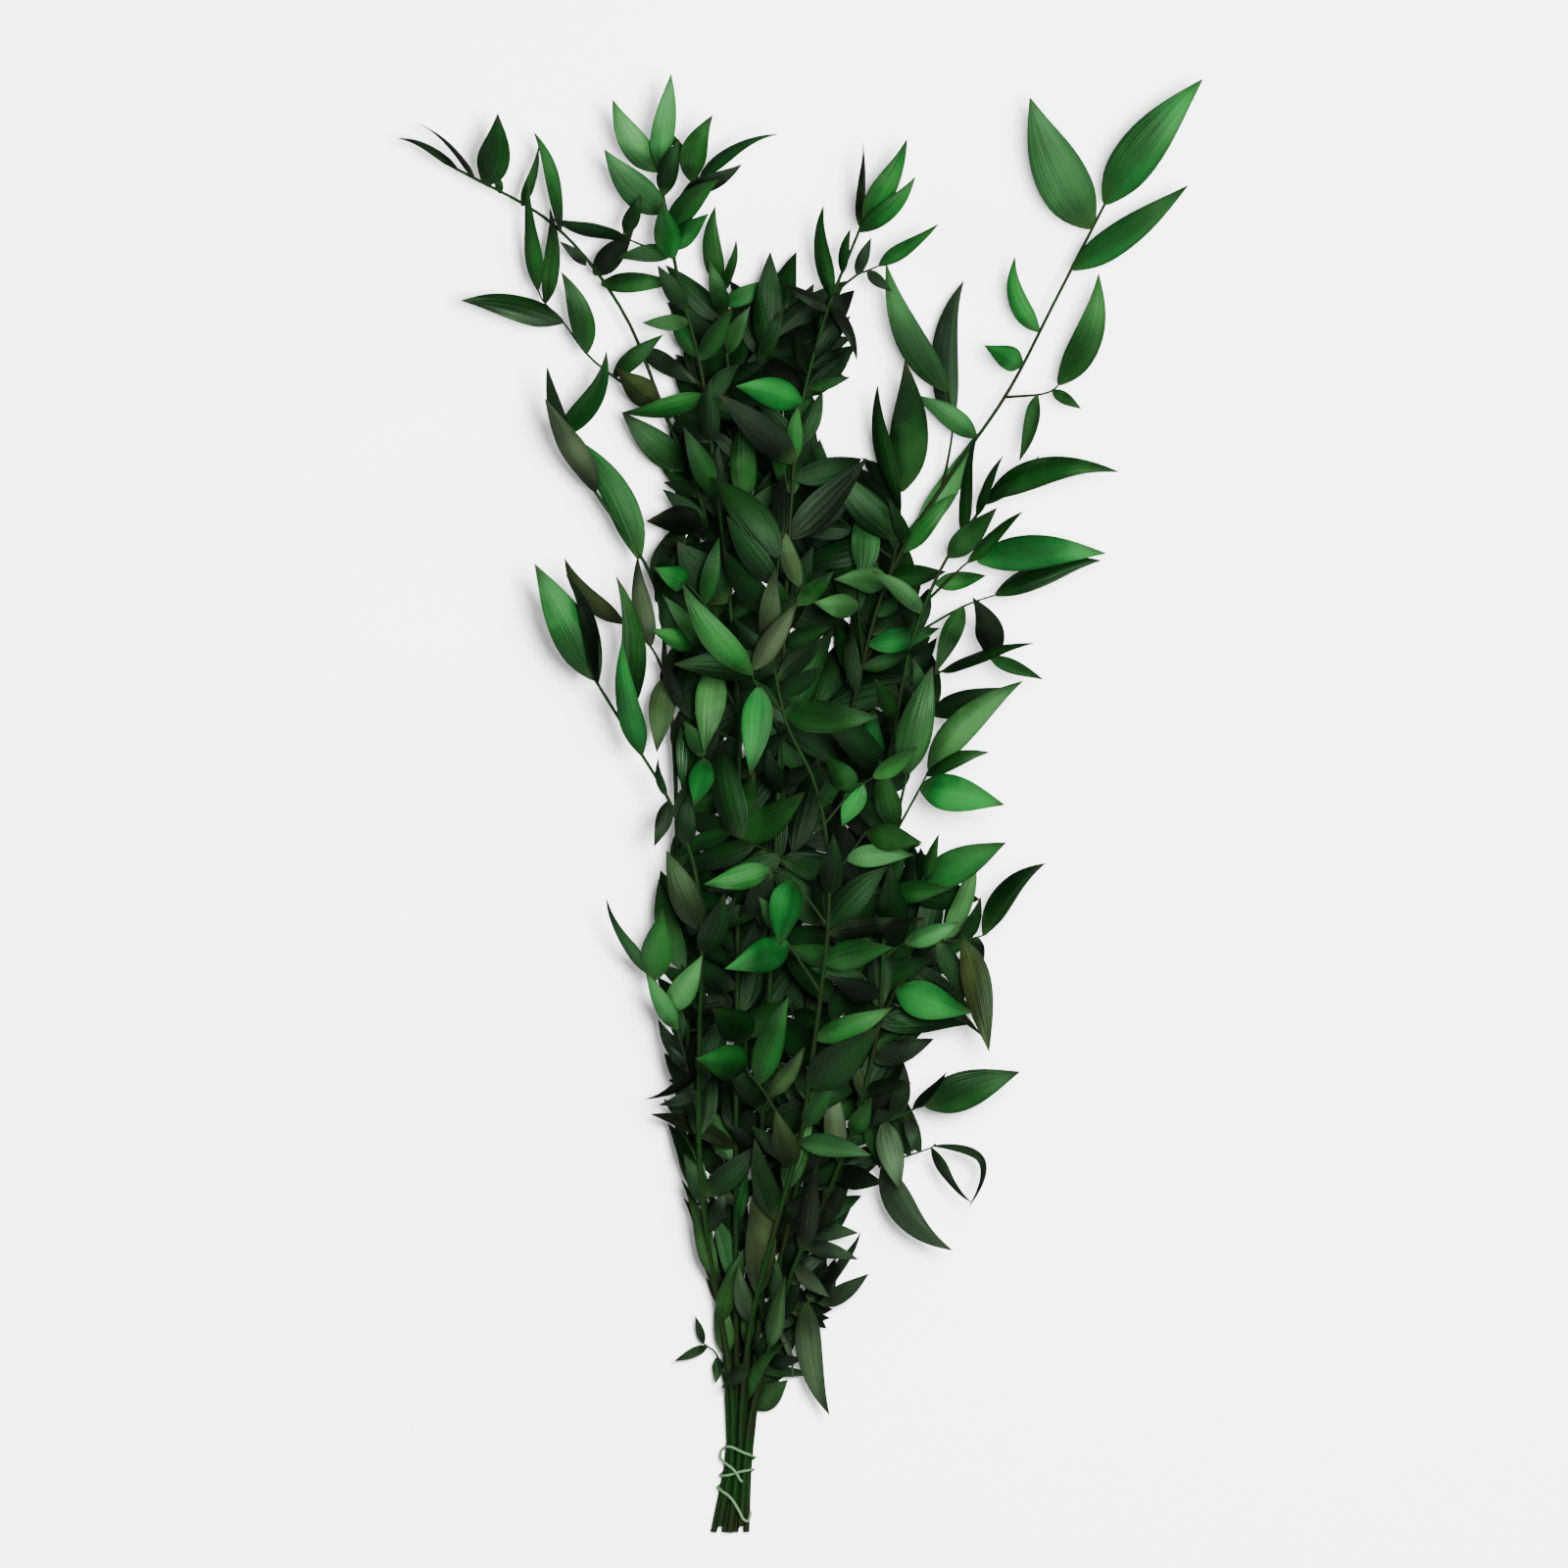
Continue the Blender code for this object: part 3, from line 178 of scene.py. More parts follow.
# Leaves on each stem: base, tip, the width that shows from above, tone and, where the leaf bends
# sideways, how much, plus to its right and minus to its left. The tones are mid, bright, pale,
# dark, black (K), olive and grey green.
STEM_LEAVES = {
    "stem_01": (
        (-160, 306, -187, 320, 4, "K"), (-151, 300, -177, 327, 3, "K"),
        (-147, 297, -139, 331, 16, "D", 0.06), (-129, 286, -120, 316, 5, "D"),
        (-107, 277, -122, 323, 6, "M", 0.08), (-94, 262, -110, 271, 5, "K"),
        (-90, 258, -74, 276, 12, "K"), (-87, 253, -53, 251, 10, "M"), (-73, 219, -42, 202, 9, "K"),
        (-62, 194, -82, 209, 14, "O"), (-39, 135, -68, 136, 14, "K"), (-140, 291, -141, 304, 4, "D"),
        (-47, 162, -80, 189, 15, "D"),
    ),
    "stem_02": (
        (-62, 306, -56, 350, 11, "P"), (-62, 304, -84, 338, 14, "P", -0.08),
        (-61, 284, -88, 314, 16, "P", -0.07), (-57, 266, -38, 283, 10, "M"),
        (-59, 276, -33, 300, 12, "M"), (-56, 262, -60, 289, 13, "B"), (-46, 232, -70, 231, 8, "D"),
        (-42, 196, -80, 188, 10, "M"), (-27, 98, -53, 126, 22, "D"), (-24, -17, 8, 6, 16, "M"),
        (-25, -12, -16, 16, 12, "D"), (-25, -165, -66, -149, 8, "O"), (-25, -172, -46, -143, 13, "P"),
        (-25, -202, -21, -175, 6, "B"), (-25, -232, -38, -196, 9, "P"), (-25, -192, -37, -183, 6, "G"),
        (-61, 292, -52, 319, 10, "D"), (-57, 264, -82, 262, 9, "D"),
    ),
    "stem_03": (
        (-33, 252, -35, 288, 10, "D"), (-33, 246, -25, 272, 5, "D"), (-31, 235, -38, 262, 9, "D"),
        (-32, 241, -5, 253, 9, "B"), (-29, 217, -18, 240, 9, "P"), (-19, 146, -20, 190, 13, "M"),
        (-23, 165, -40, 182, 7, "K"),
    ),
    "stem_04": (
        (36, 280, 57, 319, 12, "M"), (35, 277, 36, 317, 5, "K"), (34, 275, 61, 301, 9, "M"),
        (21, 243, 17, 287, 8, "M"), (20, 240, 33, 213, 6, "K"), (19, 237, -5, 250, 6, "K"),
        (8, 200, 30, 205, 6, "D"), (7, 192, -25, 200, 15, "B"), (4, 166, 5, 192, 8, "M"),
        (26, 255, 30, 276, 5, "D"), (-19, -262, -22, -234, 7, "M"), (-20, -288, -1, -259, 9, "M"),
    ),
    "stem_05": (
        (153, 290, 199, 348, 22, "B"), (145, 278, 116, 339, 26, "P", -0.05),
        (137, 257, 192, 297, 18, "B"), (116, 230, 109, 263, 10, "B", -0.14), (113, 212, 94, 220, 12, "B"),
        (90, 177, 60, 197, 11, "P"), (56, 121, 82, 150, 10, "M"), (50, 109, 76, 112, 11, "D"),
        (62, 132, 90, 178, 12, "P"), (48, 106, 22, 108, 13, "P"), (39, 77, 73, 85, 12, "B"),
        (33, 54, 31, 88, 8, "K"), (-8, -212, 14, -190, 13, "K"), (-5, -194, 6, -166, 12, "O"),
    ),
    "stem_06": (
        (97, 148, 158, 159, 14, "D", -0.10), (94, 144, 120, 167, 5, "D"), (90, 139, 103, 167, 5, "D"),
        (83, 129, 91, 178, 6, "D"), (76, 119, 100, 142, 12, "D"), (70, 106, 95, 110, 9, "M"),
        (64, 92, 40, 112, 9, "P"), (-17, -292, 0, -278, 12, "D"), (-13, -274, 12, -276, 5, "D"),
        (0, -203, 20, -184, 13, "K"), (6, -176, 24, -158, 12, "K"),
    ),
    "stem_07": (
        (57, 16, 69, 66, 17, "P"), (40, -122, 70, -112, 12, "K"), (30, -158, 40, -140, 10, "M"),
        (36, -140, 29, -118, 6, "O"), (3, -222, 20, -237, 8, "G"), (-8, -262, -1, -227, 9, "P"),
        (-7, -250, 2, -277, 9, "G"), (47, -44, 78, -40, 11, "M"), (-5, -245, -10, -210, 9, "M"),
        (6, -215, 14, -172, 11, "K"), (12, -205, 30, -178, 10, "K"), (24, -177, 46, -181, 12, "K"),
        (-1, -230, 22, -212, 10, "K"), (26, -172, 22, -132, 11, "G"), (8, -206, 34, -206, 9, "K"),
        (6, -212, 34, -219, 8, "K"),
    ),
    "stem_08": (
        (-93, 61, -121, 115, 20, "B"), (-91, 58, -106, 110, 7, "K"), (-79, 39, -82, 109, 12, "D", 0.07),
        (-70, 24, -79, 78, 12, "B"), (-57, 2, -64, -20, 8, "K"), (-58, 4, -62, 22, 4, "D"),
        (-42, -60, -58, -22, 15, "O"), (-43, -128, -68, -141, 5, "K"), (-43, -138, -62, -144, 6, "K"),
        (-40, -192, -50, -168, 10, "D"), (-36, -228, -51, -181, 9, "P"), (-38, -206, -30, -184, 8, "K"),
        (-41, -185, -58, -154, 10, "D"), (-33, -250, -20, -212, 10, "M"),
    ),
    "stem_09": (
        (-112, 178, -87, 217, 11, "M", 0.12), (-107, 169, -115, 209, 8, "D"),
        (-93, 150, -116, 194, 12, "G"), (-71, 118, -106, 178, 17, "B", 0.09), (-58, 62, -63, 25, 13, "O"),
        (-34, -234, -50, -190, 7, "M"), (-40, -190, -54, -150, 11, "M"), (-50, -80, -62, -36, 12, "D"),
        (-29, -266, -34, -236, 10, "M"),
    ),
    "stem_10": (
        (-8, 74, -6, 113, 11, "O"), (-3, 44, 43, 42, 16, "M"), (19, -62, 65, -54, 9, "K"),
        (17, -76, 50, -68, 14, "M"), (13, -112, 50, -97, 12, "M"), (6, -162, 40, -168, 11, "P"),
        (8, -154, 22, -134, 10, "D"), (-15, -236, -15, -176, 15, "O"), (-21, -270, -32, -281, 8, "K"),
        (-17, -250, -24, -222, 9, "G"), (-5, -200, -16, -160, 12, "D"), (0, -185, 12, -150, 12, "M"),
        (5, -175, -6, -146, 13, "O"),
    ),
}

# Sprays of each stem: root on the stem, rise, and leaves, whose bases the twig passes in turn
STEM_SPRAYS = {
    "stem_01": (
        ((-60, 190), 10, (
            (-84, 206, -60, 226, 9, "D"), (-97, 217, -109, 256, 12, "M", 0.07),
            (-108, 232, -157, 242, 13, "D"), (-117, 241, -115, 288, 8, "M"),
            (-121, 249, -125, 300, 8, "M"))),
    ),
    "stem_02": (
        ((-57, 262), 4, ((-76, 271, -113, 281, 6, "D"), (-79, 275, -70, 292, 8, "D"))),
        ((-61, 280), 3, (
            (-50, 294, -22, 307, 8, "K"), (-46, 299, -36, 330, 13, "M", -0.09),
            (-43, 300, -56, 323, 6, "D"), (-41, 302, -5, 321, 7, "M", -0.10))),
        ((-24, 74), 14, ((-40, 96, -33, 128, 9, "M"), (-49, 107, -64, 113, 12, "B"))),
        ((-24, 44), 10, (
            (-35, 66, -40, 25, 15, "P"), (-37, 73, -60, 100, 8, "D"), (-45, 76, -66, 84, 10, "M"))),
        ((-24, 30), 4, ((-47, 42, -50, 3, 10, "D"), (-50, 44, -60, 77, 6, "K"))),
        ((-24, 8), 12, ((-40, 22, -45, -1, 12, "B"), (-42, 24, -50, 40, 9, "M"))),
    ),
    "stem_03": (
        ((-26, 195), 8, ((-14, 214, -3, 238, 8, "D"), (-10, 220, -14, 250, 8, "M"))),
    ),
    "stem_04": (
        ((22, 246), 3, (
            (33, 254, 40, 272, 6, "K"), (38, 256, 50, 246, 6, "K"), (45, 259, 72, 278, 7, "M"))),
        ((-2, 75), 6, ((4, 96, 22, 112, 9, "D"), (6, 106, -3, 134, 9, "O"))),
    ),
    "stem_05": (
        ((104, 196), 5, (
            (120, 197, 111, 165, 7, "D"), (127, 199, 141, 190, 6, "D"),
            (131, 203, 149, 255, 15, "M", 0.10))),
        ((74, 153), 10, ((79, 180, 85, 253, 13, "G", -0.06), (77, 200, 47, 260, 16, "M", -0.08))),
        ((47, 104), 8, (
            (53, 128, 19, 164, 16, "D"), (54, 142, 43, 201, 8, "D"), (54, 152, 56, 213, 19, "D", 0.05))),
        ((36, 68), 14, ((34, 96, 12, 97, 12, "P"), (36, 112, 35, 150, 14, "P"))),
    ),
    "stem_06": (
        ((68, 99), 6, ((86, 116, 112, 140, 6, "M"), (92, 117, 152, 120, 17, "B"))),
        ((61, 82), -4, ((84, 95, 70, 62, 10, "M"), (101, 101, 150, 117, 12, "D", -0.06))),
        ((55, 56), 5, (
            (74, 64, 117, 77, 6, "D"), (96, 71, 88, 99, 14, "K", 0.10), (98, 70, 122, 60, 7, "M"))),
        ((50, 30), 4, ((66, 42, 60, 70, 9, "M"), (70, 44, 104, 56, 12, "D"))),
    ),
    "stem_07": (
        ((50, -14), 6, (
            (63, 8, 103, 0, 18, "B"), (66, 14, 96, 25, 8, "D"), (68, 18, 112, 59, 15, "P", -0.07))),
        ((47, -50), 8, ((64, -38, 104, -18, 17, "M"), (66, -36, 72, -14, 6, "D"))),
        ((45, -74), 2, (
            (56, -66, 82, -56, 10, "P"), (75, -65, 89, -24, 10, "P"), (84, -65, 96, -118, 14, "O"),
            (95, -62, 123, -28, 11, "D", -0.12))),
        ((43, -108), 4, ((52, -88, 88, -99, 18, "B"), (55, -84, 92, -110, 7, "D"))),
        ((33, -152), 3, (
            (46, -152, 54, -185, 13, "G"), (57, -148, 60, -167, 6, "K"), (60, -146, 76, -128, 5, "K"),
            (67, -144, 111, -128, 19, "M"))),
        ((24, -175), -6, (
            (46, -172, 79, -214, 14, "G", 0.12), (69, -165, 88, -191, 5, "K"),
            (71, -163, 87, -193, 4, "K", -0.52))),
        ((-4, -246), 2, (
            (9, -240, 20, -294, 13, "G"), (14, -240, 35, -206, 6, "K"), (17, -242, 39, -226, 9, "K"))),
    ),
    "stem_08": (
        ((-43, -150), 4, (
            (-48, -128, -60, -112, 5, "K"), (-53, -108, -68, -80, 9, "P"), (-57, -99, -41, -72, 13, "P"),
            (-64, -84, -60, -50, 15, "M"), (-68, -80, -87, -45, 6, "D"))),
    ),
    "stem_09": (
        ((-58, 58), 8, ((-66, 76, -72, 119, 10, "G"), (-80, 88, -107, 118, 9, "O", -0.06))),
        ((-27, -284), -2, (
            (-34, -267, -35, -280, 5, "D"), (-39, -262, -55, -269, 5, "D"),
            (-42, -260, -45, -247, 4, "D"))),
    ),
    "stem_10": (
        ((-2, 44), 6, (
            (-14, 56, -18, 14, 15, "B"), (-17, 62, -50, 105, 14, "M"), (-16, 66, 4, 96, 11, "G"))),
        ((18, -10), -2, ((30, 6, 17, 24, 12, "D"), (36, 10, 26, -10, 11, "B"), (42, 14, 62, 28, 9, "M"))),
        ((19, -40), -3, ((28, -26, 60, -24, 11, "P"), (38, -12, 64, -18, 13, "D"))),
        ((19, -58), 2, ((2, -36, -4, -68, 16, "B"), (-10, -30, -40, -38, 12, "M"))),
        ((16, -90), 4, ((0, -66, -30, -78, 16, "B"), (-4, -60, -14, -44, 9, "D"))),
        ((5, -165), 6, (
            (-10, -140, 8, -116, 9, "O"), (-14, -134, 0, -92, 14, "M"), (-20, -126, -44, -121, 18, "M"),
            (-20, -112, -36, -97, 18, "D"))),
    ),
}

# Sprays set by rule where the listed leaves leave the body open
FILL_SEED = 11
FILL_START = 84.0
FILL_LOW = -285.0
FILL_HIGH = 245.0
LOW_LEAVES = -170.0
LOW_SPRAY_SIZE = 0.62
LOW_LEAF_SIZE = 0.72
FILL_STEPS = 120
FILL_DRAFTS = 40
FILL_TRIES = 12
LEAF_COUNT = 293
FLOOR_SPRAYS = (
    ("stem_05", 20, -22, 48, 8), ("stem_05", 36, 68, 54, 98), ("stem_05", 50, 112, 40, 150),
    ("stem_01", -32, -20, -46, 10), ("stem_01", -33, 56, -50, 84),
)
FLOOR_SPRAY_HEIGHT = 2.0
FILL_FLOOR = 2.2
FILL_TONES = "MMMDDDOKBG"
CELL = 6.0

# Inner leaves that only the finished look has, set where the surface still shows from above
GAP_CELL = 1.8
GAP_ROUNDS = 6
GAP_SHRINK = 0.09
GAP_TRIES = 12
GAP_TONES = "MMDDDDDOKG"


# Lines and places along them

def smooth_line(points, count):
    """Points evenly spaced on a smooth curve through the given ones."""
    ends = [points[0] * 2.0 - points[1]] + list(points) + [points[-1] * 2.0 - points[-2]]
    dense = []
    for i in range(1, len(ends) - 2):
        p0, p1, p2, p3 = ends[i - 1], ends[i], ends[i + 1], ends[i + 2]
        for step in range(12):
            t = step / 12.0
            dense.append(0.5 * (2.0 * p1 + (p2 - p0) * t + (2.0 * p0 - 5.0 * p1 + 4.0 * p2 - p3) * t * t
                                + (3.0 * p1 - p0 - 3.0 * p2 + p3) * t * t * t))
    dense.append(ends[-2].copy())
    total = line_length(dense)
    return [line_at(dense, total * i / (count - 1))[0] for i in range(count)]


def line_length(points):
    return sum((b - a).length for a, b in zip(points, points[1:]))


def line_at(points, distance):
    """Point and direction at a distance along a line of straight pieces."""
    for a, b in zip(points, points[1:]):
        piece = (b - a).length
        if distance <= piece or b is points[-1]:
            direction = (b - a).normalized()
            return a + direction * min(distance, piece), direction
        distance -= piece


def nearest_on_line(points, x, y):
    """Point on a line that lies nearest to x, y as seen from above, a little short of its end."""
    best = None
    for a, b in zip(points, points[1:]):
        run = Vector((b.x - a.x, b.y - a.y))
        along = Vector((x - a.x, y - a.y)).dot(run) / max(run.length_squared, TINY)
        point = a.lerp(b, clamp(along))
        distance = math.hypot(point.x - x, point.y - y)
        if best is None or distance < best[0]:
            best = (distance, point)
    end = points[-1]
    if (best[1] - end).length < SINK:
        return end + (points[-2] - end).normalized() * SINK
    return best[1]


def body_edge(y):
    """Left and right edge of the closed body at a place along the bunch."""
    if y < BODY_EDGE[0][0] or y > BODY_EDGE[-1][0]:
        return 0.0, 0.0
    for (y0, *low), (y1, *high) in zip(BODY_EDGE, BODY_EDGE[1:]):
        if y <= y1:
            return blend(low, high, (y - y0) / (y1 - y0))


def clamp(value, low=0.0, high=1.0):
    return min(high, max(low, value))


def blend(a, b, f):
    return tuple(x + (y - x) * f for x, y in zip(a, b))


def squarest_up(axis):
    """The direction square to an axis that points up the most."""
    level = UP - axis * UP.dot(axis)
    return level.normalized() if level.length > 1e-3 else Vector((1.0, 0.0, 0.0))


# Leaf blades

class Blade:
    """One leaf: a thin pointed plate, bent along an arc and turned about it."""

    def __init__(self, base, tip, width, roll, bow, sway, twist, tone, filler=False, lying=False):
        self.base = base
        self.tip = tip
        self.width = width
        self.roll = roll
        self.bow = bow
        self.sway = sway
        self.twist = twist
        self.tone = tone
        self.lying = lying
        self.is_long = lying or (not filler and self.length() > LONG_LEAF)

    def length(self):
        return (self.tip - self.base).length

    def centre(self, t):
        chord = self.tip - self.base
        axis = chord.normalized()
        swell = 4.0 * t * (1.0 - t) * chord.length
        if self.lying:
            flat = Vector((axis.x, axis.y, 0.0)).normalized()
            side = Vector((flat.y, -flat.x, 0.0))
            point = self.base.lerp(self.tip, t) + side * self.sway * swell
            drop = max(0.0, 1.0 - t / LYING_DROP)
            point.z = self.tip.z + (self.base.z - self.tip.z) * drop * drop
            return point
        normal = Matrix.Rotation(self.roll, 3, axis) @ squarest_up(axis)
        side = axis.cross(normal)
        return self.base + chord * t + normal * self.bow * swell + side * self.sway * swell

    def place(self, across, t, lift, half_width):
        """Point of the blade: across from -1 to 1, t from base to tip, lift off its middle."""
        ahead = self.centre(min(1.0, t + FRAME_STEP))
        run = (ahead - self.centre(max(0.0, t - FRAME_STEP))).normalized()
        turn = 0.0 if self.lying else self.roll + self.twist * (t - TWIST_FROM)
        normal = Matrix.Rotation(turn, 3, run) @ squarest_up(run)
        side = run.cross(normal)
        return self.centre(t) + side * across * half_width + normal * lift

    def shape(self, plates, extra=0.0):
        """A plate, bent to this leaf, with extra millimetres on every side."""
        shaped = plates[0 if self.is_long else 1].copy()
        for vert in shaped.verts:
            across, t, lift = vert.co
            vert.co = self.place(across, t, lift * (BLADE_THICK / 2.0 + extra),
                                 self.width / 2.0 + extra)
        return shaped

    def shell(self, plates, extra=0.0):
        """The plate as a search tree and its box."""
        shaped = self.shape(plates, extra)
        tree = BVHTree.FromBMesh(shaped)
        box = box_of([vert.co for vert in shaped.verts])
        shaped.free()
        return tree, box


def flat_plate(outline):
    """A leaf outline as a unit plate: x across, y from base to tip, z plus and minus one."""
    plate = bmesh.new()
    rows = len(outline)
    bmesh.ops.create_grid(plate, x_segments=1, y_segments=rows - 1, size=1.0)
    for vert in plate.verts:
        t, half = outline[round((vert.co.y + 1.0) / 2.0 * (rows - 1))]
        vert.co = Vector((math.copysign(half, vert.co.x), t, 0.0))
    bmesh.ops.remove_doubles(plate, verts=plate.verts, dist=1e-4)
    bmesh.ops.dissolve_degenerate(plate, dist=1e-5, edges=plate.edges)
    bmesh.ops.triangulate(plate, faces=plate.faces)
    bmesh.ops.solidify(plate, geom=plate.faces[:], thickness=2.0)
    middle = sum(vert.co.z for vert in plate.verts) / len(plate.verts)
    bmesh.ops.translate(plate, verts=plate.verts, vec=(0.0, 0.0, -middle))
    face_outward(plate)
    return plate


def face_outward(shape):
    """Turns a closed shape whose faces all point inwards the right way round."""
    if shape.calc_volume(signed=True) < 0.0:
        bmesh.ops.reverse_faces(shape, faces=shape.faces)


# Keeping pieces clear of each other

class Space:
    """What is placed so far, so that the next piece can stay clear of it."""

    def __init__(self):
        self.items = []

    def add(self, *item):
        self.items.append(item)

    def is_clear(self, node, anchor, tree, box, carrier=None):
        """Whether a piece meets nothing, save its carrier and what grows beside its root."""
        for other_node, other_anchor, other_tree, other_box in self.items:
            if other_tree is carrier or boxes_apart(box, other_box):
                continue
            if other_node == node and (other_anchor - anchor).length < ROOT_ZONE:
                continue
            if tree.overlap(other_tree):
                return False
        return True


def box_of(points):
    sides = list(zip(*points))
    return [min(side) for side in sides], [max(side) for side in sides]


def boxes_apart(a, b):
    return any(a[0][k] > b[1][k] or b[0][k] > a[1][k] for k in range(3))


def tube_shell(points, radius, tip_radius, extra):
    """A square tube round a line, as a search tree and its box."""
    corners = []
    faces = []
    last = len(points) - 1
    for i, point in enumerate(points):
        run = (points[min(i + 1, last)] - points[max(i - 1, 0)]).normalized()
        side = run.cross(UP).normalized()
        normal = side.cross(run)
        reach = radius + (tip_radius - radius) * i / last + extra
        for a, b in ((1, 1), (-1, 1), (-1, -1), (1, -1)):
            corners.append(point + (side * a + normal * b) * reach * SHELL_CORNER)
    for k in range(4 * last):
        j = k + 1 if k % 4 < 3 else k - 3
        faces.append((k, j, j + 4, k + 4))
    return BVHTree.FromPolygons(corners, faces), box_of(corners)


def spray_shell(points, extra):
    return tube_shell(points, SPRAY_RADIUS, SPRAY_TIP_RADIUS, extra)


# Layout

def bundle_route(place):
    """Points from the cut end to just above the string, for one place in the bundle."""
    across, row = place
    points = []
    last = len(BUNDLE_AXIS) - 1
    for i, (x, y) in enumerate(BUNDLE_AXIS):
        spread = 1.0 + (CUT_SPLAY - 1.0) * max(0.0, 1.0 - i / 2.0)
        height = CUT_HEIGHT + (BUNDLE_HEIGHT - CUT_HEIGHT) * min(1.0, i / 2.0)
        if i == 0:
            y += CUT_STEP * abs(across * row)
        rise = row * ROW_PITCH
        if i == last:
            rise = rise * ROW_SPREAD + ROW_RISE
        points.append(Vector((x + across * STEM_PITCH * spread, y, height + rise)))
    return points


class Layout:
    """Places every stem, spray and leaf of the bunch."""

    def __init__(self):
        self.plates = flat_plate(LONG_ROWS), flat_plate(SHORT_ROWS)
        self.space = Space()
        self.stems = {}
        self.trees = {}
        self.sprays = []
        self.blades = []
        self.random = random.Random(FILL_SEED)
        for name in STEM_PLACES:
            self.place_stem(name)
        jobs = [self.place_hand_spray(name, spray)
                for name, sprays in STEM_SPRAYS.items() for spray in sprays]
        for name, leaves in STEM_LEAVES.items():
            for leaf in leaves:
                self.place_hand_leaf(name, self.trees[name], self.stems[name], leaf)
        for name, tree, points, leaves in jobs:
            for leaf in sorted(leaves, key=lambda leaf: -leaf[4]):
                self.place_hand_leaf(name, tree, points, leaf)
        self.hand_count = len(self.blades)
        self.cover = self.cover_tree()
        self.fill()
        self.fill_gaps()

    def place_stem(self, name):
        route = bundle_route(STEM_PLACES[name]) + [Vector(point) for point in STEM_ROUTES[name]]
        line = smooth_line(route, STEM_SEGMENTS + 1)
        cut = [route[0], route[2], route[3]]
        line = cut + [p for p in line if p.y > route[3].y + CUT_GAP]
        self.stems[name] = line
        self.trees[name], box = tube_shell(line, STEM_RADIUS, STEM_TIP_RADIUS, TWIG_CLEARANCE)
        self.space.add(name, FAR_BELOW, self.trees[name], box)

    def place_hand_spray(self, name, spray):
        (root_x, root_y), rise, leaves = spray
        root = nearest_on_line(self.stems[name], root_x, root_y)
        flat = [root] + [Vector((leaf[0], leaf[1], root.z)) for leaf in leaves]
        total = line_length(flat)
        for change in RISE_CHANGES:
            points = []
            walked = 0.0
            for i, point in enumerate(flat):
                walked += (point - flat[i - 1]).length if i else 0.0
                f = walked / total
                points.append(point + UP * (rise + change) * f * (2.0 - f))
            clear = self.space.is_clear(name, root, *spray_shell(points, CLEARANCE),
                                        self.trees[name])
            if clear and min(p.z for p in points) >= TWIG_FLOOR:
                return name, self.keep_spray(name, points), points, leaves
        return name, None, [], ()

    def keep_spray(self, name, points):
        tree, box = spray_shell(points, TWIG_CLEARANCE)
        self.space.add(name, points[0], tree, box)
        self.sprays.append((name, points, tree))
        return tree

    def place_hand_leaf(self, name, carrier, line, leaf):
        """A leaf seen in the picture plane: its slope and roll explain its length and width."""
        x, y, tip_x, tip_y, shown_width, tone = leaf[:6]
        base = nearest_on_line(line, x, y)
        shown = math.hypot(tip_x - base.x, tip_y - base.y)
        length = shown
        width = max(shown_width, 3.0)
        roll = 0.0
        slope = math.radians(self.random.uniform(4.0, 14.0))
        if shown_width > WIDE_SHARE * shown:
            length = shown_width / USUAL_SHARE
            slope = math.acos(max(0.35, shown / length))
        elif shown_width < NARROW_SHARE * shown:
            width = min(0.30 * shown, 15.0)
            roll = math.acos(clamp(shown_width / width, 0.15))
        sway = self.random.uniform(-0.05, 0.05)
        bow = self.random.uniform(0.05, 0.13)
        twist = self.random.uniform(-0.5, 0.5)
        side = self.random.choice((1.0, -1.0))
        faces = (side, -side)
        if len(leaf) > 6:
            bow = max(bow, abs(leaf[6]) * math.sin(roll))
            sway = leaf[6] * math.cos(roll)
            faces = (math.copysign(1.0, leaf[6]),)
        for turn, change, face in product(TURNS, SLOPE_CHANGES, faces):
            angle = slope + change
            rise = math.tan(angle) * shown
            if abs(angle) > STEEPEST or math.hypot(rise, shown) > 1.35 * max(length, 24.0):
                continue
            tip = Vector((tip_x, tip_y, base.z + rise))
            blade = Blade(base, tip, width, (roll + turn) * face, bow, sway, twist, tone)
            if self.try_blade(name, carrier, blade):
                return

    def try_blade(self, name, carrier, blade, under=False):
        """Keeps a leaf if it has room and, for one set by rule, hides no listed leaf."""
        if not blade.lying:
            low = min(blade.place(a, t, -BLADE_THICK / 2.0, blade.width / 2.0).z
                      for a, t in ((0, 1.0), (-1, 0.4), (1, 0.4), (-0.6, 0.72), (0.6, 0.72)))
            if low < LEAF_FLOOR or max(blade.tip.z, blade.centre(0.5).z) > LEAF_CEILING:
                return False
        if under and self.hides_hand_leaf(blade):
            return False
        if not self.space.is_clear(name, blade.base, *blade.shell(self.plates, CLEARANCE), carrier):
            return False
        self.blades.append((name, blade))
        self.space.add(name, blade.base, *blade.shell(self.plates))
        return True

    def cover_tree(self):
        """All listed leaves together, to keep the rest from lying over them."""
        corners = []
        faces = []
        for owner, blade in self.blades:
            solid = blade.shape(self.plates)
            solid.verts.index_update()
            start = len(corners)
            corners.extend(vert.co.copy() for vert in solid.verts)
            faces.extend([start + vert.index for vert in face.verts] for face in solid.faces)
            solid.free()
        return BVHTree.FromPolygons(corners, faces)

    def hides_hand_leaf(self, blade):
        """Whether a leaf leaves the body of the bunch or lies over a listed leaf."""
        for across, t in ((0, 0.3), (-0.8, 0.45), (0.8, 0.45), (0, 0.6), (0, 0.8), (0, 1.0)):
            point = blade.place(across, t, 0.0, blade.width / 2.0)
            left, right = body_edge(point.y)
            if not left - 3.0 < point.x < right + 3.0:
                return True
            if self.cover.ray_cast(point, -UP, 200.0)[0] is not None:
                return True
        return False

